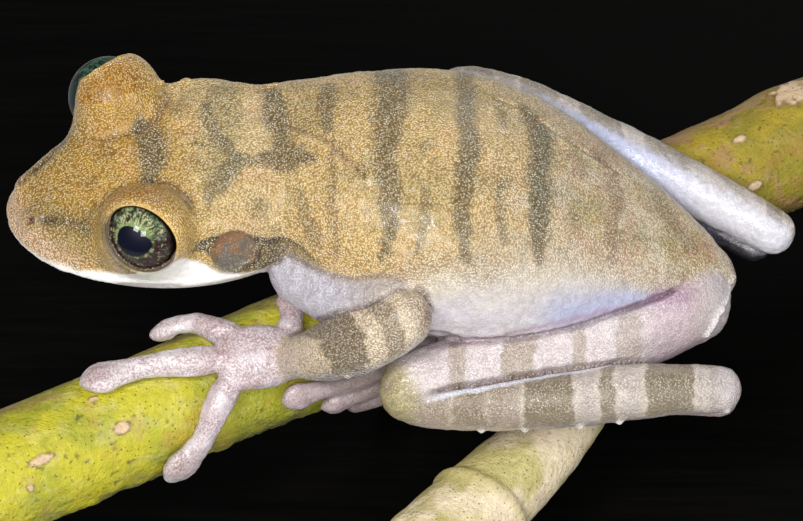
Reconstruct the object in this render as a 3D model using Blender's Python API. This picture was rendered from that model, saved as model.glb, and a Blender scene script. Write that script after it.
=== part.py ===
"""A still, life-size museum model of a tree frog that grips a cut length of branch.

The branch stands on two short rods over a flat base. Lengths are in millimetres until a mesh is
made, and the frog's own frame has its origin in the middle of the trunk, with the snout towards -X,
the left side towards -Y and +Z up.
"""

import math

import bmesh
import bpy
import numpy as np
from mathutils import Matrix, Vector
from mathutils.bvhtree import BVHTree

MM = 0.001
GAP = 0.3
CLEAR = 0.33
JOIN = 0.002

# The base's middle is the origin of the whole model, and this is where the frog's frame sits over it.
FROG_AT = Vector((0.0, -10.0, 30.0))

# The perch: a straight main branch and a side stem that leaves it under the frog.
BRANCH_THROUGH = Vector((0.0, 3.6, -13.6))
BRANCH_YAW = math.radians(28.3)
BRANCH_RADIUS = 4.8
BRANCH_FRONT = -44.0
BRANCH_BACK = 38.0
BRANCH_TAPER = 0.002
# Low swellings of the branch: place along it, height and half length.
BRANCH_KNOTS = [(-15.0, 0.25, 2.5), (30.0, 0.5, 3.0)]
STEM_PATH = [
    (16.5, 12.4, -13.9),
    (10.5, 0.5, -16.2),
    (6.0, -8.8, -17.2),
    (-1.2, -17.3, -17.9),
    (-4.6, -21.0, -18.2),
]
STEM_RADII = [3.1, 3.1, 3.15, 3.9, 4.0]

# The stand.
BASE_LENGTH = 88.0
BASE_DEPTH = 76.0
BASE_THICK = 4.0
BASE_CORNER = 6.0
BASE_EDGE = 0.6
ROD_RADIUS = 1.5
ROD_ALONG = (-7.0, 15.0)

# The head, in a frame of its own: x forward from the corner of the mouth, y to the left, z up.
HEAD_AT = Vector((-17.9, 1.85, -2.15))
HEAD_YAW = math.radians(11.5)
HEAD_LENGTH = 18.5
HEAD_BACK = -1.5
HEAD_HALF = 8.7
HEAD_WIDE_AT = 5.0
HEAD_RISE = 7.0
SNOUT_RISE = 3.4
HEAD_DROP = 3.6
SNOUT_DROP = 1.8
HEAD_SQUARE = 3.2
SNOUT_SQUARE = 2.05
JAW_SQUARE = 2.2
LIP_OVERHANG = 0.8
MOUTH_BACK = 0.8
MOUTH_FRONT = 1.25
EYE_AT = Vector((9.0, 7.0, 6.2))
EYE_RADIUS = 3.1
EYE_LIFT = math.radians(38.0)
EYE_FORWARD = math.radians(12.0)
# The opening between the lids: half its length and half its height, and how far its front end is
# tilted up.
EYE_OPENING = (2.9, 2.25)
EYE_TILT = math.radians(41.0)
LID_RADIUS = 3.75
LID_OFF = Vector((-0.05, -0.1, -0.05))
NOSTRIL_AT = (16.9, 61.0)
EAR_AT = (2.5, 19.0)
EAR_RADIUS = 1.75
EAR_THICK = 0.8
EAR_SUNK = 0.1
# The fold over each eardrum, as places along the head and angles round it, and its half width.
EAR_FOLD = [(6.4, 50), (4.6, 44), (2.6, 41), (0.7, 32), (-0.8, 21)]
FOLD_HALF = [0.5, 0.6, 0.55, 0.5, 0.35]

# The trunk, as sections behind the neck down to the vent:
# x, y, z of the widest level, half width, rise, drop, the heading of the section in degrees, and
# how square it is.
NECK = (-1.65, 7.5, 6.9, 4.1)
TRUNK = [
    (-13.4, 1.7, -1.3, 8.6, 7.5, 5.3, 5.0, 2.6),
    (-9.7, 1.1, -1.0, 9.8, 8.3, 6.4, -2.0, 2.35),
    (-5.0, 0.5, -0.9, 10.9, 8.6, 7.1, -6.0, 2.25),
    (0.0, 0.0, -1.4, 11.0, 8.4, 7.4, -6.0, 2.25),
    (5.0, -0.5, -2.4, 9.9, 7.3, 7.2, -6.0, 2.25),
    (10.0, -1.2, -3.8, 7.8, 5.3, 6.3, -7.0, 2.25),
    (14.0, -1.7, -5.2, 5.6, 4.0, 5.0, -8.0, 2.25),
    (17.5, -2.0, -6.3, 3.1, 2.3, 3.0, -8.0, 2.2),
    (19.3, -2.1, -6.9, 1.4, 1.1, 1.4, -8.0, 2.2),
]
TRUNK_TIP = Vector((20.1, -2.2, -7.1))
TRUNK_SIDES = 26
TRUNK_RINGS = 20


def mesh_object(name, points, faces):
    """An object from points of the frog's frame, still in millimetres."""
    mesh = bpy.data.meshes.new(name)
    mesh.from_pydata([Vector(p) + FROG_AT for p in points], [], faces)
    shape = bmesh.new()
    shape.from_mesh(mesh)
    bmesh.ops.recalc_face_normals(shape, faces=shape.faces)
    if shape.calc_volume(signed=True) < 0.0:
        bmesh.ops.reverse_faces(shape, faces=shape.faces)
    shape.to_mesh(mesh)
    shape.free()
    made = bpy.data.objects.new(name, mesh)
    bpy.context.scene.collection.objects.link(made)
    return made


def paint(made, material):
    """Gives an object its material and smooth shading."""
    made.data.materials.clear()
    made.data.materials.append(material)
    made.data.shade_smooth()
    made.data.set_sharp_from_angle(angle=math.radians(40.0))


def principled(name, colour, roughness, metallic=0.0):
    """A plain Principled material."""
    material = bpy.data.materials.new(name)
    material.use_nodes = True
    shader = material.node_tree.nodes["Principled BSDF"]
    shader.inputs["Base Color"].default_value = (*colour, 1.0)
    shader.inputs["Roughness"].default_value = roughness
    shader.inputs["Metallic"].default_value = metallic
    material.diffuse_color = (*colour, 1.0)
    return material


def heading(angle):
    """Forward and left for a body part that faces -X and is turned by an angle about +Z."""
    forward = Vector((-math.cos(angle), -math.sin(angle), 0.0))
    left = Vector((math.sin(angle), -math.cos(angle), 0.0))
    return forward, left


def head_point(x, y, z):
    """A point of the head's own frame, in the frog's frame."""
    forward, left = heading(HEAD_YAW)
    return HEAD_AT + forward * x + left * y + Vector((0.0, 0.0, z))


def mirrored(point, side):
    """The same place on the left (1) or the right (-1) of the head."""
    return Vector((point[0], point[1] * side, point[2]))


def branch_frame():
    """The branch's direction, and its level normal on the far side."""
    along = Vector((math.cos(BRANCH_YAW), math.sin(BRANCH_YAW), 0.0))
    far = Vector((-math.sin(BRANCH_YAW), math.cos(BRANCH_YAW), 0.0))
    return along, far


def on_perch(along, angle, lift):
    """A point over the branch: its place along it, its angle from the far side over the top, and
    its height above the bark."""
    direction, far = branch_frame()
    turn = math.radians(angle)
    out = far * math.cos(turn) + Vector((0.0, 0.0, math.sin(turn)))
    return BRANCH_THROUGH + direction * along + out * (BRANCH_RADIUS + lift)


def perch_normal(point):
    """The way out of the branch at a point near it."""
    direction, _ = branch_frame()
    off = Vector(point) - BRANCH_THROUGH
    return (off - direction * off.dot(direction)).normalized()


def smooth_values(values, at):
    """Catmull-Rom interpolation of rows of numbers; at runs from 0 to the last row's index."""
    rows = np.array([list(v) if hasattr(v, "__len__") else [v] for v in values], dtype=float)
    last = len(rows) - 1
    start = min(int(math.floor(at)), last - 1)
    t = at - start
    before = rows[start - 1] if start > 0 else 2 * rows[start] - rows[start + 1]
    after = rows[start + 2] if start + 2 <= last else 2 * rows[start + 1] - rows[start]
    a = rows[start]
    b = rows[start + 1]
    return 0.5 * (
        2 * a + (b - before) * t + (2 * before - 5 * a + 4 * b - after) * t**2
        + (3 * a - before - 3 * b + after) * t**3
    )


def spread(path, count):
    """Indices into a path at equal steps of length."""
    fine = [smooth_values(path, i * (len(path) - 1) / 200.0) for i in range(201)]
    lengths = [0.0]
    for one, two in zip(fine, fine[1:]):
        lengths.append(lengths[-1] + float(np.linalg.norm(two - one)))
    wanted = np.linspace(0.0, lengths[-1], count)
    return np.interp(wanted, lengths, np.linspace(0.0, len(path) - 1, 201)), lengths[-1]


def superellipse(angle, power):
    """Cosine and sine of an angle, squared off by a power over 2."""
    c = math.cos(angle)
    s = math.sin(angle)
    return (
        math.copysign(abs(c) ** (2.0 / power), c),
        math.copysign(abs(s) ** (2.0 / power), s),
    )


def section(centre, side, up, half, rise, drop, power, count):
    """A closed ring with its own rise above and drop below its widest level."""
    ring = []
    for i in range(count):
        c, s = superellipse(2.0 * math.pi * i / count, power)
        ring.append(centre + side * (half * c) + up * ((rise if s > 0 else drop) * s))
    return ring


def loft(name, rings, start=None, end=None):
    """A closed mesh through rings of equal count, with a point or a flat face at each end."""
    count = len(rings[0])
    points = [p for ring in rings for p in ring]
    faces = []
    for r in range(len(rings) - 1):
        for i in range(count):
            j = (i + 1) % count
            faces.append((r * count + i, r * count + j, (r + 1) * count + j, (r + 1) * count + i))
    last = (len(rings) - 1) * count
    if start is None:
        faces.append(tuple(range(count)))
    else:
        points.append(Vector(start))
        faces.extend((len(points) - 1, i, (i + 1) % count) for i in range(count))
    if end is None:
        faces.append(tuple(last + i for i in range(count)))
    else:
        points.append(Vector(end))
        faces.extend((len(points) - 1, last + i, last + (i + 1) % count) for i in range(count))
    return mesh_object(name, points, faces)


def limb(name, path, halves, depths, up, sides=12, rings=9, flat_end=False):
    """A tube along a path, rounded at its ends. halves and depths are its half width and half
    thickness at the path's points, and up is a direction or a function of the point."""
    steps, _ = spread(path, rings)
    made = []
    frames = []
    for at in steps:
        here = Vector(smooth_values(path, at))
        ahead = Vector(smooth_values(path, min(at + 0.02, len(path) - 1)))
        behind = Vector(smooth_values(path, max(at - 0.02, 0.0)))
        tangent = (ahead - behind).normalized()
        hint = up(here) if callable(up) else Vector(up)
        side = hint.cross(tangent).normalized()
        top = tangent.cross(side).normalized()
        half = float(smooth_values(halves, at)[0])
        depth = float(smooth_values(depths, at)[0])
        frames.append((here, tangent, side, top, half, depth))
        made.append(section(here, side, top, half, depth, depth, 2.0, sides))

    def cap(frame, way, angles):
        """The rings of a rounded end, and its tip."""
        here, tangent, side, top, half, depth = frame
        reach = min(half, depth)
        rounds = []
        for degrees in angles:
            a = math.radians(degrees)
            centre = here + tangent * (way * reach * math.sin(a))
            rounds.append(section(centre, side, top, half * math.cos(a), depth * math.cos(a),
                                  depth * math.cos(a), 2.0, sides))
        return rounds, here + tangent * (way * reach)

    first, start = cap(frames[0], -1.0, (60.0, 30.0))
    if flat_end:
        return loft(name, first + made, start)
    last, end = cap(frames[-1], 1.0, (30.0, 60.0))
    return loft(name, first + made + last, start, end)


def ball(name, centre, radii, axis=Vector((0.0, 0.0, 1.0)), sides=16, rings=9):
    """An ellipsoid about an axis: radii are across it and along it."""
    axis = Vector(axis).normalized()
    side = axis.orthogonal().normalized()
    top = axis.cross(side)
    made = []
    for r in range(1, rings):
        a = math.pi * r / rings - math.pi / 2.0
        across = radii[0] * math.cos(a)
        made.append(section(Vector(centre) + axis * (radii[1] * math.sin(a)), side, top,
                            across, across, across, 2.0, sides))
    return loft(name, made, Vector(centre) - axis * radii[1], Vector(centre) + axis * radii[1])


def rod(name, low, high, radius, sides=16):
    """A straight round bar between two points, with flat ends."""
    axis = (Vector(high) - Vector(low)).normalized()
    side = axis.orthogonal().normalized()
    top = axis.cross(side)
    return loft(name, [section(Vector(p), side, top, radius, radius, radius, 2.0, sides)
                       for p in (low, high)])


def keep_largest(made):
    """Leaves an object only its largest closed surface."""
    shape = bmesh.new()
    shape.from_mesh(made.data)
    bmesh.ops.remove_doubles(shape, verts=shape.verts, dist=JOIN)
    left = set(shape.faces)
    groups = []
    while left:
        group = []
        stack = [left.pop()]
        while stack:
            face = stack.pop()
            group.append(face)
            for edge in face.edges:
                for other in edge.link_faces:
                    if other in left:
                        left.discard(other)
                        stack.append(other)
        groups.append(group)
    if len(groups) > 1:
        groups.sort(key=lambda group: sum(face.calc_area() for face in group))
        scraps = [face for group in groups[:-1] for face in group]
        bmesh.ops.delete(shape, geom=scraps, context="FACES")
    shape.to_mesh(made.data)
    shape.free()


def closed(mesh):
    """Whether every edge of a mesh has two faces."""
    shape = bmesh.new()
    shape.from_mesh(mesh)
    whole = all(len(edge.link_faces) == 2 for edge in shape.edges)
    shape.free()
    return whole


def boolean(target, other, operation, remove=True):
    """Applies one Boolean of another object to the target, by the second solver where the first
    leaves nothing, an open surface, or too little of a union."""
    before = target.data
    least = 0 if operation == "DIFFERENCE" else 0.7 * len(before.polygons)
    for solver in ("EXACT", "MANIFOLD"):
        target.data = before
        step = target.modifiers.new("step", "BOOLEAN")
        step.operation = operation
        step.object = other
        step.solver = solver
        bpy.context.view_layer.update()
        graph = bpy.context.evaluated_depsgraph_get()
        result = bpy.data.meshes.new_from_object(target.evaluated_get(graph))
        target.modifiers.remove(step)
        target.data = result
        keep_largest(target)
        if closed(target.data) and len(target.data.polygons) > least:
            break
    result.name = target.name
    if remove:
        bpy.data.objects.remove(other)


def union(target, *others):
    """Fuses other objects into the target."""
    for other in others:
        boolean(target, other, "UNION")
    return target


def grown(made, by):
    """A copy whose surface is moved out along its normals."""
    copy = bpy.data.objects.new(made.name + "_cutter", made.data.copy())
    bpy.context.scene.collection.objects.link(copy)
    copy.hide_render = True
    copy.display_type = "WIRE"
    shape = bmesh.new()
    shape.from_mesh(copy.data)
    shape.normal_update()
    moves = [(v, v.normal.copy()) for v in shape.verts]
    for vertex, normal in moves:
        vertex.co += normal * by
    shape.to_mesh(copy.data)
    shape.free()
    return copy


def tree_of(made):
    """A search tree of an object's faces."""
    shape = bmesh.new()
    shape.from_mesh(made.data)
    tree = BVHTree.FromBMesh(shape)
    shape.free()
    return tree


def fit_beside(order, raw):
    """Cuts each piece clear of the ones before it that it touches, by the gap that touching
    pieces keep. raw holds the swollen copies of pieces that were already cut."""
    cutters = []
    for made in order:
        cutter = raw.pop(made.name, None) or grown(made, GAP)
        for other, tree in cutters:
            if tree.overlap(tree_of(made)):
                boolean(made, other, "DIFFERENCE", remove=False)
        cutters.append((cutter, tree_of(cutter)))
    for cutter, _ in cutters:
        bpy.data.objects.remove(cutter)


def trunk():
    """The trunk from the neck to the vent."""
    rings = []
    level, half, rise, drop = NECK
    neck = head_point(HEAD_BACK - GAP, 0.0, 0.0)
    stations = [(neck.x, neck.y, level, half, rise, drop, math.degrees(HEAD_YAW), HEAD_SQUARE)] + TRUNK
    for at in np.linspace(0.0, len(stations) - 1, TRUNK_RINGS):
        x, y, z, half, rise, drop, turn, square = smooth_values(stations, at)
        _, left = heading(math.radians(turn))
        rings.append(section(Vector((x, y, z)), left, Vector((0.0, 0.0, 1.0)), half, rise, drop,
                             square, TRUNK_SIDES))
    return loft("torso", rings, None, TRUNK_TIP)


def head_width(x):
    """Half the head's width at a place along it."""
    if x <= HEAD_WIDE_AT:
        return HEAD_HALF - 0.03 * (HEAD_WIDE_AT - x) ** 2
    t = (x - HEAD_WIDE_AT) / (HEAD_LENGTH - HEAD_WIDE_AT)
    return HEAD_HALF * max(1.0 - t**1.92, 0.0) ** 0.56


def mouth_level(x):
    """Height of the line of the mouth."""
    return MOUTH_BACK + (MOUTH_FRONT - MOUTH_BACK) * max(x, 0.0) / HEAD_LENGTH


def nose_round(x, start, power):
    """How far the snout's end rounds off a height, from 1 behind its start to 0 at the tip."""
    t = max(x - start, 0.0) / (HEAD_LENGTH - start)
    return max(1.0 - t**power, 0.0) ** 0.5


def head_rise(x):
    """Height of the crown over the line of the mouth."""
    t = max(x - 3.0, 0.0) / (HEAD_LENGTH - 3.0)
    return (HEAD_RISE + (SNOUT_RISE - HEAD_RISE) * t) * nose_round(x, 10.0, 3.2)


def head_drop(x):
    """Depth of the lower jaw and throat under the line of the mouth."""
    t = max(x - 3.0, 0.0) / (HEAD_LENGTH - 3.0)
    return (HEAD_DROP + (SNOUT_DROP - HEAD_DROP) * t) * nose_round(x, 8.0, 2.5)


def head_surface(x, angle):
    """A point of the upper head: angle 0 is the left lip, 90 degrees the crown."""
    power = HEAD_SQUARE + (SNOUT_SQUARE - HEAD_SQUARE) * max(x, 0.0) / HEAD_LENGTH
    c, s = superellipse(angle, power)
    lore = math.exp(-((x - 13.6) / 2.2) ** 2) * math.exp(-((abs(s) - 0.55) / 0.25) ** 2)
    y = head_width(x) * c * (1.0 - 0.08 * lore)
    z = mouth_level(x) + GAP / 2.0 + (head_rise(x) - GAP / 2.0) * abs(s)
    return Vector((x, y, z))


def head_stations(count, tip):
    """Places along the head, closer together towards the snout."""
    span = tip - HEAD_BACK
    return [HEAD_BACK + span * math.sin(0.5 * math.pi * i / count) ** 0.9 for i in range(count)]


def half_head(name, upper, arc, across, stations):
    """The upper or the lower half of the head, closed along the line of the mouth."""
    tip = HEAD_LENGTH if upper else HEAD_LENGTH - LIP_OVERHANG
    rings = []
    for x in head_stations(stations, tip):
        ring = []
        for i in range(arc + 1):
            angle = math.pi * i / arc
            if upper:
                ring.append(head_surface(x, angle))
            else:
                c, s = superellipse(angle, JAW_SQUARE)
                half = head_width(x) - LIP_OVERHANG * min(1.0, head_width(x) / HEAD_HALF * 2.0)
                ring.append(Vector((x, half * c, mouth_level(x) - GAP / 2.0 - head_drop(x) * abs(s))))
        first = ring[0]
        last = ring[-1]
        for k in range(1, across):
            ring.append(last.lerp(first, k / across))
        rings.append([head_point(*p) for p in ring])
    level = mouth_level(tip) + (GAP if upper else -GAP)
    return loft(name, rings, None, head_point(tip, 0.0, level))


def eye_axis(side):
    """The way an eye looks, in the head's frame."""
    level = math.cos(EYE_LIFT)
    return Vector((level * math.sin(EYE_FORWARD), side * level * math.cos(EYE_FORWARD), math.sin(EYE_LIFT)))


def turned(vector):
    """A direction of the head's frame, in the frog's frame."""
    return head_point(*vector) - HEAD_AT


def ear_frame(side):
    """Middle and outward direction of an eardrum, in the head's frame."""
    x = EAR_AT[0]
    angle = math.radians(EAR_AT[1])
    here = head_surface(x, angle)
    up = head_surface(x, angle + 0.1) - head_surface(x, angle - 0.1)
    along = head_surface(x + 1.0, angle) - head_surface(x - 1.0, angle)
    out = along.cross(up).normalized()
    if out.y < 0.0:
        out = -out
    return mirrored(here, side), mirrored(out, side)


def eye_opening(centre, axis):
    """The cutter between an eye's lids: an oval bar along the way the eye looks."""
    up = (Vector((0.0, 0.0, 1.0)) - axis * axis.z).normalized()
    front = Vector((1.0, 0.0, 0.0))
    front = (front - axis * axis.x - up * front.dot(up)).normalized()
    long = turned(front * math.cos(EYE_TILT) + up * math.sin(EYE_TILT))
    short = turned(up * math.cos(EYE_TILT) - front * math.sin(EYE_TILT))
    rings = [section(head_point(*(centre + axis * reach)), long, short, EYE_OPENING[0],
                     EYE_OPENING[1], EYE_OPENING[1], 2.0, 20) for reach in (1.2, 6.0)]
    return loft("opening", rings)


def head_parts():
    """The head, the lower jaw, the eyes and the eardrums."""
    head = half_head("head", True, 22, 5, 20)
    jaw = half_head("jaw", False, 14, 5, 14)
    cuts = []
    eyes = []
    ears = []
    for side, tag in ((1, "l"), (-1, "r")):
        centre = mirrored(EYE_AT, side)
        axis = eye_axis(side)
        here, out = ear_frame(side)
        lid = ball("lid", head_point(*(centre + mirrored(LID_OFF, side))), (LID_RADIUS, LID_RADIUS),
                   turned(axis), 18, 11)
        path = [head_point(*mirrored(head_surface(x, math.radians(a)), side)) for x, a in EAR_FOLD]
        fold = limb("fold", path, FOLD_HALF, FOLD_HALF, (0.0, 0.0, 1.0), 8, 9)
        nostril = mirrored(head_surface(NOSTRIL_AT[0], math.radians(NOSTRIL_AT[1])), side)
        bump = ball("bump", head_point(*nostril), (0.75, 0.6), turned(Vector((0.3, 0.5 * side, 0.8))), 10, 6)
        union(head, lid, fold, bump)

        eyes.append(ball("eye_" + tag, head_point(*centre), (EYE_RADIUS, EYE_RADIUS), turned(axis), 18, 12))
        ears.append(rod("ear_" + tag, head_point(*(here - out * (EAR_THICK + EAR_SUNK))),
                        head_point(*(here - out * EAR_SUNK)), EAR_RADIUS, 16))
        socket = EYE_RADIUS + CLEAR
        cuts += [
            ball("socket", head_point(*centre), (socket, socket), turned(axis), 18, 12),
            eye_opening(centre, axis),
            rod("recess", head_point(*(here - out * (EAR_THICK + EAR_SUNK + CLEAR))),
                head_point(*(here + out * 2.0)), EAR_RADIUS + CLEAR, 16),
            ball("hole", head_point(*(nostril + Vector((0.25, 0.35 * side, 0.45)))), (0.28, 0.45),
                 turned(Vector((0.3, 0.6 * side, 0.7))), 8, 5),
        ]
    for cutter in cuts:
        boolean(head, cutter, "DIFFERENCE")
    return head, jaw, eyes, ears


def digit(name, path, width, pad, rings=10):
    """A finger or toe: a jointed tube that narrows to a neck and ends in a flat round disc."""
    steps, length = spread(path, rings)
    disc = pad / length
    neck = max(1.0 - 3.0 * disc, 0.3)
    middle = 1.0 - 1.05 * disc
    shares = list(np.linspace(0.0, neck, rings - 4))
    shares += [middle - 0.75 * disc, middle, middle + 0.6 * disc, 1.0]
    made = []
    for share in shares:
        at = float(np.interp(share * length, np.linspace(0.0, length, rings), steps))
        here = Vector(smooth_values(path, at))
        ahead = Vector(smooth_values(path, min(at + 0.05, len(path) - 1)))
        behind = Vector(smooth_values(path, max(at - 0.05, 0.0)))
        tangent = (ahead - behind).normalized()
        out = perch_normal(here)
        side = out.cross(tangent).normalized()
        top = tangent.cross(side).normalized()
        knuckle = math.exp(-((share - 0.52 * neck) / 0.12) ** 2)
        half = width * (1.0 - 0.28 * share / neck + 0.2 * knuckle)
        depth = 0.92 * half
        if share > neck + 0.001:
            off = (share - middle) / (1.15 * disc)
            half = pad * math.sqrt(max(1.0 - off * off, 0.15))
            depth = 0.52 * pad * math.sqrt(max(1.0 - off * off, 0.2))
        made.append(section(here, side, top, half, depth, depth, 2.0, 8))
    first = Vector(path[0])
    final = Vector(smooth_values(path, len(path) - 1))
    back = (first - Vector(smooth_values(path, 0.1))).normalized()
    front = (final - Vector(smooth_values(path, len(path) - 1.1))).normalized()
    return loft(name, made, first + back * (0.5 * width), final + front * (0.25 * pad))


def web(name, one, other, reach, thick=0.55, steps=5):
    """Skin between two digits' paths, from their roots out to a share of their length, with a
    hollow free edge."""
    across = 5
    top = []
    bottom = []
    for i in range(steps + 1):
        for j in range(across + 1):
            share = j / across
            dip = 1.0 - 0.35 * math.sin(math.pi * share)
            at = reach * dip * i / steps
            a = Vector(smooth_values(one, at * (len(one) - 1)))
            b = Vector(smooth_values(other, at * (len(other) - 1)))
            here = a.lerp(b, share)
            out = perch_normal(here)
            top.append(here + out * (0.5 * thick))
            bottom.append(here - out * (0.5 * thick))
    row = across + 1
    count = len(top)
    faces = []
    for i in range(steps):
        for j in range(across):
            a, b, c, d = i * row + j, i * row + j + 1, (i + 1) * row + j + 1, (i + 1) * row + j
            faces += [(a, b, c), (a, c, d)]
            faces += [(count + a, count + c, count + b), (count + a, count + d, count + c)]
    rim = list(range(row))
    rim += [i * row + across for i in range(1, steps + 1)]
    rim += [steps * row + j for j in range(across - 1, -1, -1)]
    rim += [i * row for i in range(steps - 1, 0, -1)]
    for a, b in zip(rim, rim[1:] + rim[:1]):
        faces.append((a, count + a, count + b, b))
    return mesh_object(name, top + bottom, faces)


def arm_paths():
    """Paths of the two arms: shoulder to elbow, and elbow to wrist."""
    return {
        "l": {
            "upper_arm": [(-13.8, -5.3, -2.6), (-10.2, -8.3, -1.8), (-7.0, -10.5, 0.4)],
            "forearm": [(-5.9, -12.4, 0.7), (-10.0, -12.0, -2.9), tuple(on_perch(-18.6, 128.0, 1.7))],
        },
        "r": {
            "upper_arm": [(-13.2, 7.0, -3.4), (-9.0, 9.9, -3.6), (-4.2, 11.9, -4.4)],
            "forearm": [(-4.0, 12.3, -4.6), (-6.6, 9.0, -7.0), tuple(on_perch(-7.8, 52.0, 1.8))],
        },
    }


FINGERS = {
    "l": {
        "palm": [(-18.4, 128.0, 1.5), (-20.6, 119.0, 1.35), (-23.0, 113.0, 1.1)],
        1: [(-18.6, 117.0, 1.2), (-17.3, 104.0, 1.3), (-16.5, 90.0, 1.2), (-16.0, 74.0, 0.9)],
        2: [(-20.7, 110.0, 1.1), (-22.5, 88.0, 1.15), (-24.1, 65.0, 1.3), (-26.7, 52.0, 0.9)],
        3: [(-22.4, 112.0, 1.1), (-26.0, 100.0, 1.0), (-29.3, 88.0, 0.9), (-33.7, 79.0, 0.8)],
        4: [(-22.4, 120.0, 1.1), (-25.0, 138.0, 1.05), (-27.2, 163.0, 1.0), (-29.9, 195.0, 0.75)],
    },
    "r": {
        "palm": [(-7.8, 52.0, 1.6), (-10.0, 48.0, 1.4), (-12.2, 43.0, 1.1)],
        1: [(-8.6, 60.0, 1.2), (-8.2, 70.0, 1.2), (-7.9, 80.0, 1.1), (-7.6, 90.0, 0.9)],
        2: [(-10.8, 54.0, 1.1), (-12.2, 64.0, 1.1), (-13.4, 74.0, 1.1), (-14.6, 86.0, 0.8)],
        3: [(-11.8, 42.0, 1.1), (-12.8, 22.0, 1.1), (-13.2, 0.0, 0.95), (-13.4, -24.0, 0.8)],
        4: [(-10.4, 34.0, 1.1), (-10.6, 8.0, 1.0), (-10.6, -18.0, 0.95), (-10.6, -44.0, 0.75)],
    },
}
FINGER_SIZES = {1: (1.0, 1.1), 2: (0.98, 1.15), 3: (1.05, 1.45), 4: (1.0, 1.45)}

TOES = {
    "l": {
        "sole": [(-2.0, 176.0, 3.6), (-6.4, 168.0, 2.2), (-9.8, 164.0, 1.3)],
        1: [(-7.6, 158.0, 1.3), (-7.4, 142.0, 1.2), (-7.0, 126.0, 1.1), (-6.6, 112.0, 0.8)],
        2: [(-9.0, 158.0, 1.2), (-10.0, 142.0, 1.1), (-11.2, 126.0, 1.0), (-12.4, 110.0, 0.8)],
        3: [(-9.6, 170.0, 1.2), (-12.2, 180.0, 1.1), (-14.2, 182.0, 1.1), (-16.6, 185.0, 0.7)],
        4: [(-9.8, 164.0, 1.2), (-13.4, 165.0, 1.1), (-16.6, 162.0, 1.0), (-19.8, 160.0, 0.7)],
        5: [(-8.8, 178.0, 1.3), (-11.0, 194.0, 1.1), (-12.4, 212.0, 1.0), (-13.2, 232.0, 0.7)],
    },
    "r": {
        "sole": [(13.6, 28.0, 1.9), (9.4, 20.0, 1.5), (6.0, 16.0, 1.2)],
        1: [(8.8, 26.0, 1.2), (6.8, 34.0, 1.2), (4.8, 44.0, 1.1), (3.0, 56.0, 0.8)],
        2: [(6.8, 22.0, 1.2), (4.2, 30.0, 1.1), (1.4, 42.0, 1.0), (-1.2, 54.0, 0.8)],
        3: [(6.2, 14.0, 1.2), (2.8, 18.0, 1.1), (-0.6, 24.0, 1.0), (-4.4, 30.0, 0.8)],
        4: [(6.4, 8.0, 1.2), (2.6, -2.0, 1.1), (-1.6, -8.0, 1.0), (-6.2, -12.0, 0.7)],
        5: [(8.0, 2.0, 1.3), (5.4, -20.0, 1.1), (3.0, -38.0, 1.0), (0.8, -58.0, 0.7)],
    },
}
TOE_SIZES = {1: (0.7, 0.8), 2: (0.75, 0.9), 3: (0.8, 1.0), 4: (0.85, 1.1), 5: (0.8, 1.05)}

LEGS = {
    "l": {
        "thigh": [(16.4, -4.6, -7.0), (10.0, -7.5, -6.8), (2.0, -10.6, -7.3), (-5.4, -13.2, -6.1)],
        "shank": [
            (-5.0, -14.3, -6.6),
            (0.5, -14.2, -7.2),
            (7.6, -13.7, -7.1),
            (13.0, -13.0, -7.1),
            (18.2, -12.2, -7.9),
        ],
        "tarsus": [(18.4, -11.4, -9.9), (11.0, -10.2, -10.9), (4.2, -9.4, -11.2)],
    },
    "r": {
        "thigh": [(15.0, 0.8, -8.4), (10.8, 5.4, -8.2), (5.0, 10.4, -6.6), (-0.2, 13.6, -5.2)],
        "shank": [
            (-1.5, 14.8, -3.9),
            (3.9, 12.7, -3.5),
            (10.3, 9.6, -4.7),
            (17.4, 6.5, -6.6),
            (23.2, 3.4, -7.8),
        ],
        "tarsus": [(21.9, 4.2, -10.1), (17.2, 7.6, -10.1), (11.4, 13.8, -10.2)],
    },
}
# Half widths and half thicknesses at the points of each path.
THIGH_SIZES = {
    "l": ([3.1, 3.7, 3.4, 2.5], [3.2, 3.7, 3.3, 2.6]),
    "r": ([2.7, 3.3, 3.3, 2.5], [2.7, 3.3, 3.2, 2.6]),
}
SHANK_SIZES = ([2.1, 2.1, 2.1, 2.1, 1.9], [2.2, 2.2, 2.2, 2.1, 1.8])
TARSUS_SIZES = ([1.5, 1.4, 1.5], [1.2, 1.1, 1.1])
UPPER_ARM_SIZES = ([2.3, 2.4, 2.1], [2.3, 2.4, 2.1])
FOREARM_SIZES = ([2.3, 2.5, 1.75], [2.3, 2.5, 1.5])
PALM_SIZES = ([1.8, 2.4, 2.2], [1.3, 1.15, 1.0])
SOLE_SIZES = ([1.5, 2.0, 2.1], [1.1, 1.1, 0.9])
# Webs: two digits, and how far along them the web reaches.
HAND_WEBS = [(2, 3, 0.3), (3, 4, 0.45)]
FOOT_WEBS = [(1, 2, 0.4), (2, 4, 0.45), (4, 3, 0.5), (3, 5, 0.5)]


def hand_or_foot(kind, word, base, tag, places, sizes, webs, base_sizes):
    """The palm or sole with its webs, its digits, and copies of them all, swollen by the gap that
    touching pieces keep, from before they were cut."""
    paths = {key: [tuple(on_perch(*p)) for p in rows] for key, rows in places.items()}
    palm = limb(kind + "_" + tag, paths[base], *base_sizes, perch_normal, 12, 6)
    digits = []
    for number, (width, pad) in sizes.items():
        digits.append(digit(f"{word}_{number}_{tag}", paths[number], width, pad))
    swollen = {one.name: grown(one, GAP) for one in [palm] + digits}
    wide = {one.name: grown(one, CLEAR) for one in [palm] + digits}
    for one in digits:
        boolean(one, wide[palm.name], "DIFFERENCE", remove=False)
    for one, other, reach in webs:
        skin = web("web", paths[one], paths[other], reach)
        for made in digits:
            boolean(skin, wide[made.name], "DIFFERENCE", remove=False)
        if skin.data.polygons:
            union(palm, skin)
        else:
            bpy.data.objects.remove(skin)
    for cutter in wide.values():
        bpy.data.objects.remove(cutter)
    return palm, digits, swollen


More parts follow.
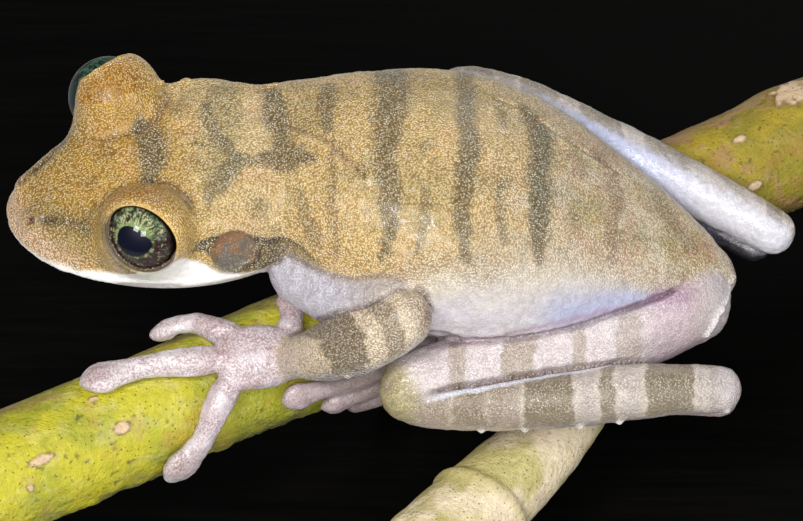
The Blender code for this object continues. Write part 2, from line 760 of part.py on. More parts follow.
def stem_and_branch():
    """The cut branch with its low swellings, and the side stem."""
    along, far = branch_frame()
    up = Vector((0.0, 0.0, 1.0))
    rings = []
    for s in np.linspace(BRANCH_FRONT, BRANCH_BACK, 20):
        radius = BRANCH_RADIUS - BRANCH_TAPER * (s - BRANCH_FRONT)
        for place, height, half_length in BRANCH_KNOTS:
            radius += height * math.exp(-((s - place) / half_length) ** 2)
        rings.append(section(BRANCH_THROUGH + along * s, far, up, radius, radius, radius, 2.0, 20))
    branch = loft("perch_branch", rings)
    stem = limb("perch_stem", STEM_PATH, STEM_RADII, STEM_RADII, (0.0, 0.0, 1.0), 16, 12, True)
    return branch, stem


def stand():
    """The flat base with rounded corners, and the rods up to the branch."""
    floor = -FROG_AT.z
    middle = Vector((-FROG_AT.x, -FROG_AT.y, floor))
    half_x = BASE_LENGTH / 2.0
    half_y = BASE_DEPTH / 2.0

    def outline(inset, height):
        ring = []
        for corner, (sx, sy) in enumerate(((1, 1), (-1, 1), (-1, -1), (1, -1))):
            for k in range(5):
                a = math.radians(90.0 * corner + 22.5 * k)
                reach = BASE_CORNER - inset
                ring.append(middle + Vector((
                    sx * (half_x - BASE_CORNER) + reach * math.cos(a),
                    sy * (half_y - BASE_CORNER) + reach * math.sin(a),
                    height,
                )))
        return ring

    base = loft("stand_base", [
        outline(BASE_EDGE, 0.0),
        outline(0.0, BASE_EDGE),
        outline(0.0, BASE_THICK - BASE_EDGE),
        outline(BASE_EDGE, BASE_THICK),
    ])
    rods = []
    for tag, s in zip("ab", ROD_ALONG):
        foot = on_perch(s, 270.0, 0.0)
        low = Vector((foot.x, foot.y, floor + BASE_THICK + GAP))
        rods.append(rod("stand_rod_" + tag, low, foot + Vector((0.0, 0.0, 2.0)), ROD_RADIUS))
    return base, rods


def build():
    """Makes every piece, cuts each clear of its neighbours and gives it its material."""
    branch, stem = stem_and_branch()
    base, rods = stand()
    torso = trunk()
    head, jaw, eyes, ears = head_parts()
    arms = []
    legs = []
    raw = {}
    up = (0.0, 0.0, 1.0)
    for tag in "lr":
        paths = arm_paths()[tag]
        upper = limb("upper_arm_" + tag, paths["upper_arm"], *UPPER_ARM_SIZES, up, 14, 7)
        lower = limb("forearm_" + tag, paths["forearm"], *FOREARM_SIZES, up, 14, 8)
        hand, fingers, swollen = hand_or_foot("hand", "finger", "palm", tag, FINGERS[tag],
                                              FINGER_SIZES, HAND_WEBS, PALM_SIZES)
        raw.update(swollen)
        arms += [upper, lower, hand] + fingers
    for tag in "lr":
        thigh = limb("thigh_" + tag, LEGS[tag]["thigh"], *THIGH_SIZES[tag], up, 16, 10)
        shank = limb("shank_" + tag, LEGS[tag]["shank"], *SHANK_SIZES, up, 14, 10)
        tarsus = limb("tarsus_" + tag, LEGS[tag]["tarsus"], *TARSUS_SIZES, up, 12, 6)
        foot, toes, swollen = hand_or_foot("foot", "toe", "sole", tag, TOES[tag], TOE_SIZES,
                                           FOOT_WEBS, SOLE_SIZES)
        raw.update(swollen)
        legs += [thigh, shank, tarsus, foot] + toes

    frog = eyes + ears + [torso, head, jaw] + legs + arms
    fit_beside([branch, stem] + frog + rods + [base], raw)

    skin = principled("skin", (0.62, 0.52, 0.34), 0.5)
    pale = principled("pale_skin", (0.8, 0.74, 0.78), 0.5)
    drum = principled("eardrum", (0.3, 0.2, 0.13), 0.5)
    eye = principled("eye", (0.03, 0.05, 0.09), 0.1)
    bark = principled("green_bark", (0.55, 0.6, 0.12), 0.6)
    plate = principled("stand_plate", (0.02, 0.02, 0.022), 0.45)
    steel = principled("stand_steel", (0.5, 0.5, 0.52), 0.3, 1.0)
    for made in [torso, head, jaw] + legs + arms:
        light = made.name.startswith(("finger", "toe", "hand", "foot", "tarsus", "jaw"))
        paint(made, pale if light else skin)
    for made in eyes:
        paint(made, eye)
    for made in ears:
        paint(made, drum)
    for made in (branch, stem):
        paint(made, bark)
    paint(base, plate)
    for made in rods:
        paint(made, steel)
    for made in [base, branch, stem] + rods + frog:
        made.data.transform(Matrix.Scale(MM, 4))


for old in list(bpy.data.objects):
    bpy.data.objects.remove(old)
build()
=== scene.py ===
"""Looks of a still, life-size tree frog that grips a cut green branch over a plain stand.

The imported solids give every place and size. One skin with its folds, lids, lips and granules stands
for the solids of flesh, and the eyes, the bark and the stand are pieces of their own. Lengths here
are in millimetres of the frog's own frame, as in the source of the solids: its origin is in the
middle of the trunk, the snout points to -X, the left side to -Y, and +Z is up.
"""
import math

import bmesh
import bpy
import numpy as np
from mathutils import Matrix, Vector
from mathutils.bvhtree import BVHTree


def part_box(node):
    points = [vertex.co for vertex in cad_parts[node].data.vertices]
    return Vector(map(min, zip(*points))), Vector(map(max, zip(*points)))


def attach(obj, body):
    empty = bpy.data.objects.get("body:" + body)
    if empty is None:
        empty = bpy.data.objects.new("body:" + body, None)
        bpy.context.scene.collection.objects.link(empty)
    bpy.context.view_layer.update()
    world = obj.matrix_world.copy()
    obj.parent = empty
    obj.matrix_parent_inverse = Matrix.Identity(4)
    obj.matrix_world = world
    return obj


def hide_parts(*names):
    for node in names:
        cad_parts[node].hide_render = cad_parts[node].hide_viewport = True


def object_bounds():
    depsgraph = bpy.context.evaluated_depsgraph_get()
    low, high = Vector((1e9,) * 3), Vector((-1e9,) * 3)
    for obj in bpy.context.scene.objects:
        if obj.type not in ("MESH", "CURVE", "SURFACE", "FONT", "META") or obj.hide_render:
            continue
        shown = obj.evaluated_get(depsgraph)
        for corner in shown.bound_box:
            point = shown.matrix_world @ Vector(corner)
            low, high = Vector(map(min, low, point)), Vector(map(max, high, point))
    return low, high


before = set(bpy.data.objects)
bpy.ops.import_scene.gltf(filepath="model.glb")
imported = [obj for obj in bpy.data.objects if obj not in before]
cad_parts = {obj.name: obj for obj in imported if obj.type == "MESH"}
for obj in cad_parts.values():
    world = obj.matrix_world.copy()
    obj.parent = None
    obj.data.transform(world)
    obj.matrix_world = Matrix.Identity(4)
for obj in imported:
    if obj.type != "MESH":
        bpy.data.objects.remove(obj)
CAD_BOX = [list(corner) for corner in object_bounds()]

MM = 0.001
# The origin of the frog's own frame, in the model's.
FROG_AT = np.array([0.0, -10.0, 30.0])

# The photo's view: what the camera looks at, its height over the level, distance and focal length.
LOOK_AT = np.array([-6.04, -2.4, -4.4])
CAMERA_LIFT = math.radians(50.0)
CAMERA_AWAY = 330.0
FOCAL_PIXELS = 4290.0
FRAME_PIXELS = 803.0
SENSOR = 36.0

# The head's own frame: x forward from the corner of the mouth, y to the left, z up.
HEAD_AT = np.array([-17.9, 1.85, -2.15])
HEAD_YAW = math.radians(11.5)
HEAD_LENGTH = 18.5
MOUTH_BACK = 0.8
MOUTH_FRONT = 1.25
EYE_AT = np.array([9.0, 7.0, 6.2])
EYE_RADIUS = 3.12
EYE_LIFT = math.radians(38.0)
EYE_FORWARD = math.radians(12.0)
EYE_OPENING = (2.9, 2.25)
EYE_TILT = math.radians(41.0)
LID_THIN = 3.24
# The far eye sits a little further forward and down in its socket, with its lid drawn back in
# front: the offset, and the middle and edge of the drawn-back part.
FAR_EYE_OFF = np.array([-0.42, 0.15, -0.15])
FAR_LID_AXIS = np.array([-0.757, 0.627, -0.181])
FAR_LID_EDGE = 0.33
# Stands for a distance that doesn't count.
FAR_OFF = 99.0
# The way the pupil looks.
PUPIL_LIFT = math.radians(36.0)
PUPIL_FORWARD = math.radians(24.0)

# Middles of the eardrum and the nostril on the left, and the way the nostril's hole faces.
EAR_AT = np.array([2.45, 8.2, 4.0])
NOSTRIL_AT = np.array([16.98, 1.93, 3.75])
NOSTRIL_WAY = np.array([0.3, 0.5, 0.8])

# The branch: a point of its middle line, its heading, and the ends of it along that line.
BRANCH_THROUGH = np.array([0.0, 3.6, -13.6])
BRANCH_YAW = math.radians(28.3)
BRANCH_WAY = np.array([math.cos(BRANCH_YAW), math.sin(BRANCH_YAW), 0.0])
BRANCH_FAR_SIDE = np.array([-math.sin(BRANCH_YAW), math.cos(BRANCH_YAW), 0.0])
BRANCH_ENDS = (-44.0, 38.0)

# How the names of the solids of flesh begin.
FLESH = ("torso", "head", "jaw", "ear", "upper_arm", "forearm", "hand", "finger", "thigh", "shank",
         "tarsus", "foot", "toe")
# Size of the cubes that join the solids to one skin, and the share of relaxing rounds that suits it.
FINE_VOXEL = 0.14
VOXEL = FINE_VOXEL
DETAIL = (FINE_VOXEL / VOXEL) ** 2
# The solids grow by this much, so that they meet over their gaps, and the skin shrinks by this much.
SKIN_GROW = 0.19
SKIN_SHRINK = 0.1


def smooth(values, low, high):
    """A soft step from 0 at low to 1 at high."""
    t = np.clip((values - low) / (high - low), 0.0, 1.0)
    return t * t * (3.0 - 2.0 * t)


def hill(distance, width):
    """1 at distance 0, falling off like a bell of that width."""
    return np.exp(-(distance / width) ** 2)


def blend(one, other, share):
    """Mixes two colours, or arrays of them, by an array of shares."""
    one = np.asarray(one)
    return one + (np.asarray(other) - one) * share[:, None]


def rgb(red, green, blue):
    """A colour as linear red, green and blue."""
    return np.array([red, green, blue])


def speckled(colour, speck, depth):
    """A colour made darker and lighter by specks from 0 to 1, half the depth either way."""
    return colour * (1.0 - depth / 2.0 + depth * speck)[:, None]


def hashed(cell, seed):
    """A repeatable number from 0 to 1 for each row of whole numbers."""
    mixed = (cell[:, 0] * 73856093) ^ (cell[:, 1] * 19349663) ^ (cell[:, 2] * 83492791)
    mixed = mixed ^ (seed * 2654435761)
    mixed = (mixed ^ (mixed >> 13)) * 1274126177
    mixed = mixed ^ (mixed >> 16)
    return (mixed & 0xFFFFF) / float(0xFFFFF)


def noise(points, size, seed):
    """Smooth noise from 0 to 1 with features of about that size."""
    place = points / size
    corner = np.floor(place).astype(np.int64)
    t = place - corner
    t = t * t * (3.0 - 2.0 * t)
    total = np.zeros(len(points))
    for dx in (0, 1):
        for dy in (0, 1):
            for dz in (0, 1):
                weight = (
                    (t[:, 0] if dx else 1.0 - t[:, 0])
                    * (t[:, 1] if dy else 1.0 - t[:, 1])
                    * (t[:, 2] if dz else 1.0 - t[:, 2])
                )
                total += weight * hashed(corner + np.array([dx, dy, dz]), seed)
    return total


def layered(points, size, seed, octaves=3):
    """Noise with finer noise on it."""
    total = np.zeros(len(points))
    share = 1.0
    whole = 0.0
    for k in range(octaves):
        total += share * noise(points, size / 2.0**k, seed + k)
        whole += share
        share *= 0.55
    return total / whole


def patches(points, size, seed, low, high):
    """Ragged patches of about that size: 0 where the noise is under low, and 1 where it is over
    high."""
    return smooth(layered(points, size, seed), low, high)


def away_from(points, spot, stretch=1.0):
    """Distance of each point from a spot, or with a stretch for each axis, as if stretched."""
    return np.linalg.norm((points - np.array(spot)) * stretch, axis=1)


def path_place(points, path, values=None):
    """Distance of each point from a line through the path's points, and how far along it is, or the
    value there where the path's points have values."""
    path = np.asarray(path, dtype=float)
    best = np.full(len(points), 1e9)
    along = np.zeros(len(points))
    before = 0.0
    for k, (start, end) in enumerate(zip(path, path[1:])):
        step = end - start
        length = float(np.linalg.norm(step))
        share = np.clip((points - start) @ step / length**2, 0.0, 1.0)
        away = np.linalg.norm(points - start - share[:, None] * step, axis=1)
        closer = away < best
        best[closer] = away[closer]
        if values is None:
            along[closer] = before + share[closer] * length
        else:
            along[closer] = values[k] + (values[k + 1] - values[k]) * share[closer]
        before += length
    return best, along


def head_axes():
    """Forward and left of the head, in the frog's frame."""
    forward = np.array([-math.cos(HEAD_YAW), -math.sin(HEAD_YAW), 0.0])
    left = np.array([math.sin(HEAD_YAW), -math.cos(HEAD_YAW), 0.0])
    return forward, left


def head_frame(points):
    """Points of the frog's frame in the head's own frame."""
    forward, left = head_axes()
    off = points - HEAD_AT
    return np.stack([off @ forward, off @ left, off[:, 2]], 1)


def from_head(vector):
    """A direction of the head's frame, in the frog's frame."""
    forward, left = head_axes()
    return forward * vector[0] + left * vector[1] + np.array([0.0, 0.0, vector[2]])


def eye_middle(side):
    """Middle of an eye's socket, in the frog's frame."""
    return HEAD_AT + from_head(EYE_AT * np.array([1.0, side, 1.0]))


def eye_axis(side, lift=EYE_LIFT, forward=EYE_FORWARD):
    """The way an eye's opening faces, or with other angles its pupil, in the head's frame."""
    level = math.cos(lift)
    return np.array([level * math.sin(forward), side * level * math.cos(forward), math.sin(lift)])


def eye_frame(axis):
    """Forward and up, square to an eye's axis, in the head's frame."""
    up = np.array([0.0, 0.0, 1.0]) - axis * axis[2]
    up /= np.linalg.norm(up)
    front = np.array([1.0, 0.0, 0.0])
    front = front - axis * axis[0] - up * (front @ up)
    return front / np.linalg.norm(front), up


def lid_place(head, side, deepest=-0.3):
    """For points of the head's frame: reach along an eye's axis, distance outside the opening's
    edge, distance from the ball's middle, and forward and up shares of the direction across. Points
    that lie further back than the deepest reach count as far from the edge."""
    axis = eye_axis(side)
    front, up = eye_frame(axis)
    off = head - EYE_AT * np.array([1.0, side, 1.0])
    reach = off @ axis
    f = off @ front
    u = off @ up
    across = np.maximum(np.hypot(f, u), 1e-6)
    p = f * math.cos(EYE_TILT) + u * math.sin(EYE_TILT)
    q = u * math.cos(EYE_TILT) - f * math.sin(EYE_TILT)
    e = np.maximum(np.hypot(p / EYE_OPENING[0], q / EYE_OPENING[1]), 1e-6)
    rim = np.where(reach > deepest, (e - 1.0) * across / e, FAR_OFF)
    return reach, rim, np.linalg.norm(off, axis=1), f / across, u / across


def far_lid(place):
    """How far inside the drawn-back part of the far lid's opening each point of the frog's frame
    is, as a share of the ball's radius, and its distance from the ball's middle."""
    off = place - eye_middle(-1) - FAR_EYE_OFF
    away = np.maximum(np.linalg.norm(off, axis=1), 1e-6)
    inside = off @ FAR_LID_AXIS / away - FAR_LID_EDGE
    inside = np.minimum(inside, -off[:, 0] / away - 0.08)
    return np.minimum(inside, off[:, 2] / away + 0.3), away


def mouth_level(x):
    """Height of the line of the mouth, in the head's frame."""
    return MOUTH_BACK + (MOUTH_FRONT - MOUTH_BACK) * np.clip(x, 0.0, None) / HEAD_LENGTH


def linked(name, data):
    """A new object in the scene."""
    made = bpy.data.objects.new(name, data)
    bpy.context.scene.collection.objects.link(made)
    return made


def mesh_piece(name, points, faces):
    """A new smooth object from points of the frog's frame."""
    mesh = bpy.data.meshes.new(name)
    placed = (np.asarray(points, dtype=float) + FROG_AT) * MM
    mesh.from_pydata(placed.tolist(), [], [tuple(face) for face in faces])
    mesh.update()
    mesh.shade_smooth()
    return linked(name, mesh)


def stacked(rings):
    """Points and faces of a closed body through rings of points, from its bottom to its top."""
    count = len(rings[0])
    faces = []
    for r in range(len(rings) - 1):
        for i in range(count):
            j = (i + 1) % count
            faces.append((r * count + i, r * count + j, (r + 1) * count + j, (r + 1) * count + i))
    faces.append(tuple(range(count - 1, -1, -1)))
    faces.append(tuple((len(rings) - 1) * count + i for i in range(count)))
    return [point for ring in rings for point in ring], faces


def dressed(mesh, name, place, material):
    """A remeshed surface, moved from the frog's frame to the model's, as an object with a material."""
    set_points(mesh, (place + FROG_AT) * MM)
    mesh.name = name
    mesh.materials.clear()
    mesh.materials.append(material)
    mesh.shade_smooth()
    return linked(name, mesh)


def solid_of(name, grow=0.0):
    """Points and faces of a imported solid, moved out along its normals, in the frog's frame."""
    shape = bmesh.new()
    shape.from_mesh(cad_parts[name].data)
    bmesh.ops.remove_doubles(shape, verts=shape.verts, dist=1e-6)
    shape.normal_update()
    points = np.array([v.co[:] for v in shape.verts]) / MM - FROG_AT
    normals = np.array([v.normal[:] for v in shape.verts])
    faces = [[v.index for v in face.verts] for face in shape.faces]
    shape.free()
    return points + normals * grow, faces


def joined(names, grow):
    """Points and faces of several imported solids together, and the name's index for each face."""
    points = []
    faces = []
    owners = []
    count = 0
    for index, name in enumerate(names):
        some, polygons = solid_of(name, grow)
        points.append(some)
        faces.extend([[i + count for i in face] for face in polygons])
        owners.extend([index] * len(polygons))
        count += len(some)
    return np.concatenate(points), faces, np.array(owners)


def remeshed(points, faces, voxel):
    """The outer surface of closed meshes that overlap, as one fine mesh of even faces."""
    mesh = bpy.data.meshes.new("raw")
    mesh.from_pydata(points.tolist(), [], faces)
    made = linked("raw", mesh)
    step = made.modifiers.new("step", "REMESH")
    step.mode = "VOXEL"
    step.voxel_size = voxel
    graph = bpy.context.evaluated_depsgraph_get()
    result = bpy.data.meshes.new_from_object(made.evaluated_get(graph))
    bpy.data.objects.remove(made)
    shape = bmesh.new()
    shape.from_mesh(result)
    left = set(shape.verts)
    groups = []
    while left:
        group = [left.pop()]
        for vertex in group:
            for edge in vertex.link_edges:
                other = edge.other_vert(vertex)
                if other in left:
                    left.discard(other)
                    group.append(other)
        groups.append(group)
    groups.sort(key=len)
    for group in groups[:-1]:
        bmesh.ops.delete(shape, geom=group, context="VERTS")
    shape.to_mesh(result)
    shape.free()
    return result


def points_of(mesh):
    """A mesh's points as an array."""
    points = np.zeros(len(mesh.vertices) * 3)
    mesh.vertices.foreach_get("co", points)
    return points.reshape(-1, 3)


def normals_of(mesh):
    """A mesh's point normals as an array."""
    normals = np.zeros(len(mesh.vertices) * 3, dtype=np.float32)
    mesh.vertex_normals.foreach_get("vector", normals)
    return normals.reshape(-1, 3).astype(float)


def edges_of(mesh):
    """A mesh's edges as pairs of point numbers."""
    edges = np.zeros(len(mesh.edges) * 2, dtype=np.int32)
    mesh.edges.foreach_get("vertices", edges)
    return edges.reshape(-1, 2)


def relaxed(values, edges, amount, rounds):
    """Values drawn towards the mean of their neighbours' over a mesh, by an amount for each point;
    points with no amount stay, and their edges cost nothing."""
    values = values.reshape(len(values), -1).copy()
    amount = np.asarray(amount) * np.ones(len(values))
    moving = amount > 1e-4
    touched = moving[edges[:, 0]] | moving[edges[:, 1]]
    used, local = np.unique(edges[touched], return_inverse=True)
    local = local.reshape(-1, 2)
    one = local[:, 0]
    two = local[:, 1]
    count = len(used)
    some = values[used]
    degree = np.bincount(one, minlength=count) + np.bincount(two, minlength=count)
    share = (amount[used] / np.maximum(degree, 1))[:, None]
    for _ in range(rounds):
        total = np.empty_like(some)
        for axis in range(some.shape[1]):
            column = some[:, axis]
            total[:, axis] = np.bincount(one, column[two], count)
            total[:, axis] += np.bincount(two, column[one], count)
        some += share * (total - degree[:, None] * some)
    values[used] = some
    return values


def set_points(mesh, points):
    """Moves a mesh's points."""
    mesh.vertices.foreach_set("co", np.ascontiguousarray(points, dtype=np.float32).ravel())
    mesh.update()


def normals_at(mesh, points):
    """Moves a mesh's points, and gives its new point normals."""
    set_points(mesh, points)
    return normals_of(mesh)


def store(mesh, name, values):
    """Keeps a number or a colour for each point of a mesh."""
    if values.ndim == 1:
        kept = mesh.attributes.new(name, "FLOAT", "POINT")
        kept.data.foreach_set("value", values.astype(np.float32))
        return
    kept = mesh.color_attributes.new(name, "FLOAT_COLOR", "POINT")
    rgba = np.concatenate([np.clip(values, 0.0, 1.0), np.ones((len(values), 1))], 1)
    kept.data.foreach_set("color", rgba.astype(np.float32).ravel())


# Markings and folds of the skin, as places in the frog's frame.
# Profile of the trunk: x, height of its widest level, and rise of the back over it.
TRUNK_X = [-18.0, -13.4, -9.7, -5.0, 0.0, 5.0, 10.0, 14.0, 17.5, 20.0]
TRUNK_Z = [-1.7, -1.3, -1.0, -0.9, -1.4, -2.4, -3.8, -5.2, -6.3, -7.0]
TRUNK_RISE = [6.9, 7.5, 8.3, 8.6, 8.4, 7.3, 5.3, 4.0, 2.3, 1.2]
# Where the golden back starts: x, and share of the rise.
BACK_LOW = (
    [-16.0, -9.0, -5.7, -1.0, 6.0, 12.0, 18.0],
    [0.0, 0.08, 0.15, 0.30, 0.38, 0.34, 0.1],
)

# Dark bars of the back: points seen from above with the half width at each, and the bar's strength.
BACK_BARS = [
    ([(-6.9, 9.2, 1.2), (-6.9, 7.3, 1.45), (-6.8, 3.0, 1.35), (-7.1, 0.9, 1.1), (-7.2, -1.3, 1.0),
      (-7.3, -3.5, 0.9), (-7.0, -5.3, 0.85), (-7.0, -7.0, 0.65), (-7.1, -8.6, 0.5)], 0.9),
    ([(-1.2, 8.8, 0.7), (-1.2, 6.6, 0.7), (-1.1, 2.6, 0.7), (-0.9, -0.8, 0.75), (-1.1, -3.5, 0.7),
      (-1.5, -5.8, 0.6), (-1.4, -7.2, 0.55), (-1.2, -9.0, 0.5)], 0.9),
    ([(3.4, 4.6, 0.6), (4.5, 2.4, 0.9), (4.4, -0.2, 0.95), (4.4, -3.2, 0.85), (4.4, -5.9, 0.7),
      (4.3, -8.0, 0.5)], 1.0),
    ([(8.9, 2.6, 0.5), (10.0, 1.2, 0.65), (10.4, -0.6, 0.6), (10.1, -2.6, 0.5), (9.9, -4.4, 0.6),
      (9.9, -5.8, 0.5)], 0.6),
    ([(13.4, 1.0, 0.6), (14.2, -0.5, 0.85), (14.9, -1.5, 0.75), (16.3, -2.3, 0.5)], 0.55),
    ([(-21.0, 4.6, 0.5), (-20.5, 2.6, 0.55), (-19.8, 1.0, 0.55), (-18.8, -0.4, 0.5),
      (-17.7, -1.0, 0.5), (-16.6, -0.9, 0.6), (-15.4, -0.5, 0.9)], 0.7),
    ([(-18.4, -0.8, 0.6), (-19.2, -2.0, 0.75), (-19.9, -3.3, 0.7), (-20.5, -4.2, 0.45)], 0.75),
    ([(-15.9, 6.2, 0.9), (-15.8, 4.6, 1.0), (-15.6, 3.1, 0.9), (-15.3, 1.5, 0.75),
      (-14.9, 0.0, 1.1)], 0.9),
    ([(-16.3, -0.6, 0.6), (-15.2, -0.7, 1.3), (-14.2, -0.8, 1.2), (-13.0, -1.1, 0.6)], 0.95),
    ([(-11.6, 6.0, 0.7), (-11.8, 4.5, 0.7), (-11.8, 2.7, 0.6), (-11.5, 0.9, 0.4)], 0.75),
    ([(-11.2, -1.0, 0.3), (-11.2, -3.7, 0.35), (-11.3, -5.3, 0.35), (-11.0, -7.4, 0.3)], 0.5),
    ([(-13.6, -3.6, 0.35), (-13.2, -5.0, 0.5), (-12.4, -6.4, 0.4)], 0.45),
    ([(-25.7, 3.0, 0.8), (-25.3, 2.2, 1.15), (-24.9, 1.0, 1.25), (-24.8, -0.7, 1.15),
      (-25.0, -1.9, 0.7)], 0.95),
    ([(-4.4, -5.0, 0.3), (-4.3, -7.0, 0.45), (-4.7, -8.6, 0.3)], 0.6),
    ([(1.4, 4.2, 0.4), (1.6, 1.9, 0.4)], 0.45),
    ([(1.4, -3.6, 0.3), (1.3, -5.7, 0.45), (1.7, -7.6, 0.3)], 0.6),
    ([(-21.8, 0.9, 0.1), (-20.9, 0.5, 0.2)], 0.9),
]
# Small dark spots of the back: x, y, radius and strength.
BACK_SPOTS = [
    (-4.1, -1.3, 0.55, 0.6), (-16.9, -4.7, 0.75, 0.4), (-23.2, 4.5, 0.7, 0.4),
    (-21.6, -0.7, 0.7, 0.35), (7.0, -4.5, 0.6, 0.55), (7.7, -0.3, 0.6, 0.35),
    (-28.4, 1.2, 0.8, 0.3), (-29.6, -1.6, 0.7, 0.3), (12.2, -3.4, 0.5, 0.35),
    (-9.4, 5.0, 0.5, 0.3), (6.9, 2.2, 0.5, 0.3),
]
# Lines of the groin, of its purple corner, of the upper edge of the near thigh, and of the corner
# where that thigh meets the rump.
GROIN = [(6.0, -9.0, -1.8), (12.5, -6.9, -3.2), (14.5, -6.0, -3.8)]
GROIN_TIP = [(13.4, -6.4, -3.2), (15.8, -5.4, -4.0)]
THIGH_TOP = [
    (-3.9, -11.5, -3.9), (-2.0, -10.9, -4.0), (0.9, -10.6, -3.5), (3.3, -10.4, -2.9),
    (6.8, -9.6, -2.7), (9.7, -8.6, -2.8), (12.7, -7.2, -3.7), (14.5, -6.7, -3.7),
]
THIGH_CORNER = [(13.6, -6.6, -3.6), (15.4, -6.3, -4.2)]
# The dark line from the nostril to the eye, in the head's frame.
LORE_LINE = [(16.2, 2.3, 4.0), (14.8, 3.2, 4.5), (13.4, 4.2, 4.8), (12.2, 5.0, 5.0)]
# Upper edge of the white lip, and lower and upper edge of the dark mask: x in the head's frame, and
# height over the line of the mouth.
LIP_TOP = (
    [-1.0, 0.6, 2.1, 3.5, 4.7, 5.6, 6.4, 9.8, 10.4, 11.0, 12.6, 14.7, 17.0, 18.5],
    [0.3, 0.4, 0.9, 1.4, 2.3, 3.1, 4.4, 4.4, 3.2, 1.7, 1.25, 0.8, 0.5, 0.35],
)
MASK_LOW = ([-1.5, 0.3, 1.7, 3.2, 3.9, 4.6, 5.6], [0.3, 0.4, 0.7, 1.4, 2.5, 3.5, 4.0])
MASK_TOP = ([-4.6, -2.6, -0.4, 1.1, 2.6, 3.8, 5.2], [2.2, 2.9, 3.4, 4.3, 4.95, 4.7, 4.4])


def bars_on(points, bars, spots):
    """Strength of the dark bars and spots at each point, by its place seen from above."""
    flat = points[:, :2]
    ragged = np.stack([layered(points, 1.8, 11) - 0.5, layered(points, 1.8, 29) - 0.5], 1)
    fine = np.stack([noise(points, 0.3, 47) - 0.5, noise(points, 0.3, 61) - 0.5], 1)
    flat = flat + 0.8 * ragged + 0.45 * fine
    dark = np.zeros(len(points))
    for path, strength in bars:
        rows = np.array(path)
        away, half = path_place(flat, rows[:, :2], rows[:, 2])
        dark = np.maximum(dark, strength * (1.0 - smooth(away / half, 0.5, 1.5)))
    for x, y, radius, strength in spots:
        away = np.hypot(flat[:, 0] - x, flat[:, 1] - y)
        dark = np.maximum(dark, strength * (1.0 - smooth(away / radius, 0.3, 1.5)))
    return dark


# Dark bands across the limbs: start, end and strength, by x, or for the left forearm by a slant of
# x and y.
SHANK_BANDS = {
    "l": [(-2.0, 0.3, 0.6), (3.1, 6.9, 1.0), (9.0, 10.0, 0.9), (12.5, 16.0, 1.0), (17.4, 18.4, 0.35)],
    "r": [(-1.0, 1.2, 0.6), (3.4, 6.2, 0.75), (7.9, 11.4, 0.85), (13.2, 16.6, 0.7), (18.4, 19.6, 0.3),
          (22.4, 23.6, 0.8)],
}
THIGH_BANDS = {
    "l": [(-2.4, -1.1, 0.8), (1.6, 4.1, 0.9), (6.8, 7.9, 0.8), (10.3, 12.2, 0.6)],
    "r": [(-1.5, 0.5, 0.8), (3.0, 5.0, 0.9), (8.0, 9.6, 0.8), (11.6, 13.0, 0.6)],
}
FOREARM_BANDS = {
    "l": [(-12.8, -10.2, 1.0), (-8.9, -7.4, 0.7), (-6.3, -5.4, 0.35)],
    "r": [(-13.0, -11.4, 0.7), (-9.8, -8.0, 0.9), (-6.4, -5.0, 0.6)],
}


def bands_on(points, across, bands):
    """Strength of dark bands by a place across them, and of the thin light lines at their edges."""
    across = across + 0.8 * (layered(points, 1.5, 83) - 0.5) + 0.35 * (noise(points, 0.4, 97) - 0.5)
    dark = np.zeros(len(points))
    edge = np.zeros(len(points))
    for start, end, strength in bands:
        inside = smooth(across, start - 0.12, start + 0.12)
        inside *= 1.0 - smooth(across, end - 0.12, end + 0.12)
        dark = np.maximum(dark, strength * inside)
        edge = np.maximum(edge, strength * hill(np.abs(across - start + 0.2), 0.16))
        edge = np.maximum(edge, 0.6 * strength * hill(np.abs(across - end - 0.2), 0.16))
    return dark, edge


# Folds: points, width and depth of the groove, and height of the low ridges beside it.
FOLDS = [
    ([(-14.6, 2.5, 5.8), (-12.8, 1.0, 6.3), (-11.4, -0.1, 6.8), (-10.3, -1.8, 6.9),
      (-8.9, -3.4, 6.9)], 0.32, 0.2, 0.14),
    ([(1.1, 4.7, 6.1), (3.1, 4.4, 5.4), (4.5, 3.5, 4.9), (6.0, 2.7, 4.1), (8.4, 2.2, 2.6),
      (10.6, 1.8, 1.1)], 0.22, 0.14, 0.1),
    ([(-9.0, -9.9, -2.2), (-6.0, -10.9, -2.6), (-2.0, -10.9, -3.6)], 0.35, 0.15, 0.1),
    ([(14.0, -4.2, -2.6), (16.6, -3.4, -4.4), (18.2, -3.0, -5.4)], 0.3, 0.12, 0.08),
]
# Folds of the head, the same on both sides, in its own frame.
HEAD_FOLDS = [
    ([(5.4, 6.9, 5.3), (5.1, 6.6, 6.4), (5.2, 5.0, 7.1), (6.4, 3.2, 7.1), (8.4, 2.5, 6.7),
      (10.2, 2.6, 6.2), (11.6, 3.4, 5.7)], 0.4, 0.16, 0.0),
    ([(12.6, 4.4, 4.9), (14.3, 3.3, 4.6), (16.0, 2.5, 4.2)], 0.3, 0.1, 0.06),
]
# The skin ridges along the far side of the head and on the rump: points, half width, height and
# waviness.
RIDGES = [
    ([(-25.0, 7.0, 5.5), (-22.8, 8.1, 4.5), (-20.8, 8.1, 4.3), (-18.8, 7.3, 4.7), (-16.6, 7.3, 4.6),
      (-14.4, 7.6, 4.6)], 0.24, 0.4, 0.8),
    ([(19.5, -2.6, -6.2), (19.3, -4.8, -5.8), (18.8, -5.9, -5.7), (18.2, -6.7, -6.0),
      (17.3, -7.6, -7.1)], 0.26, 0.35, 0.25),
]
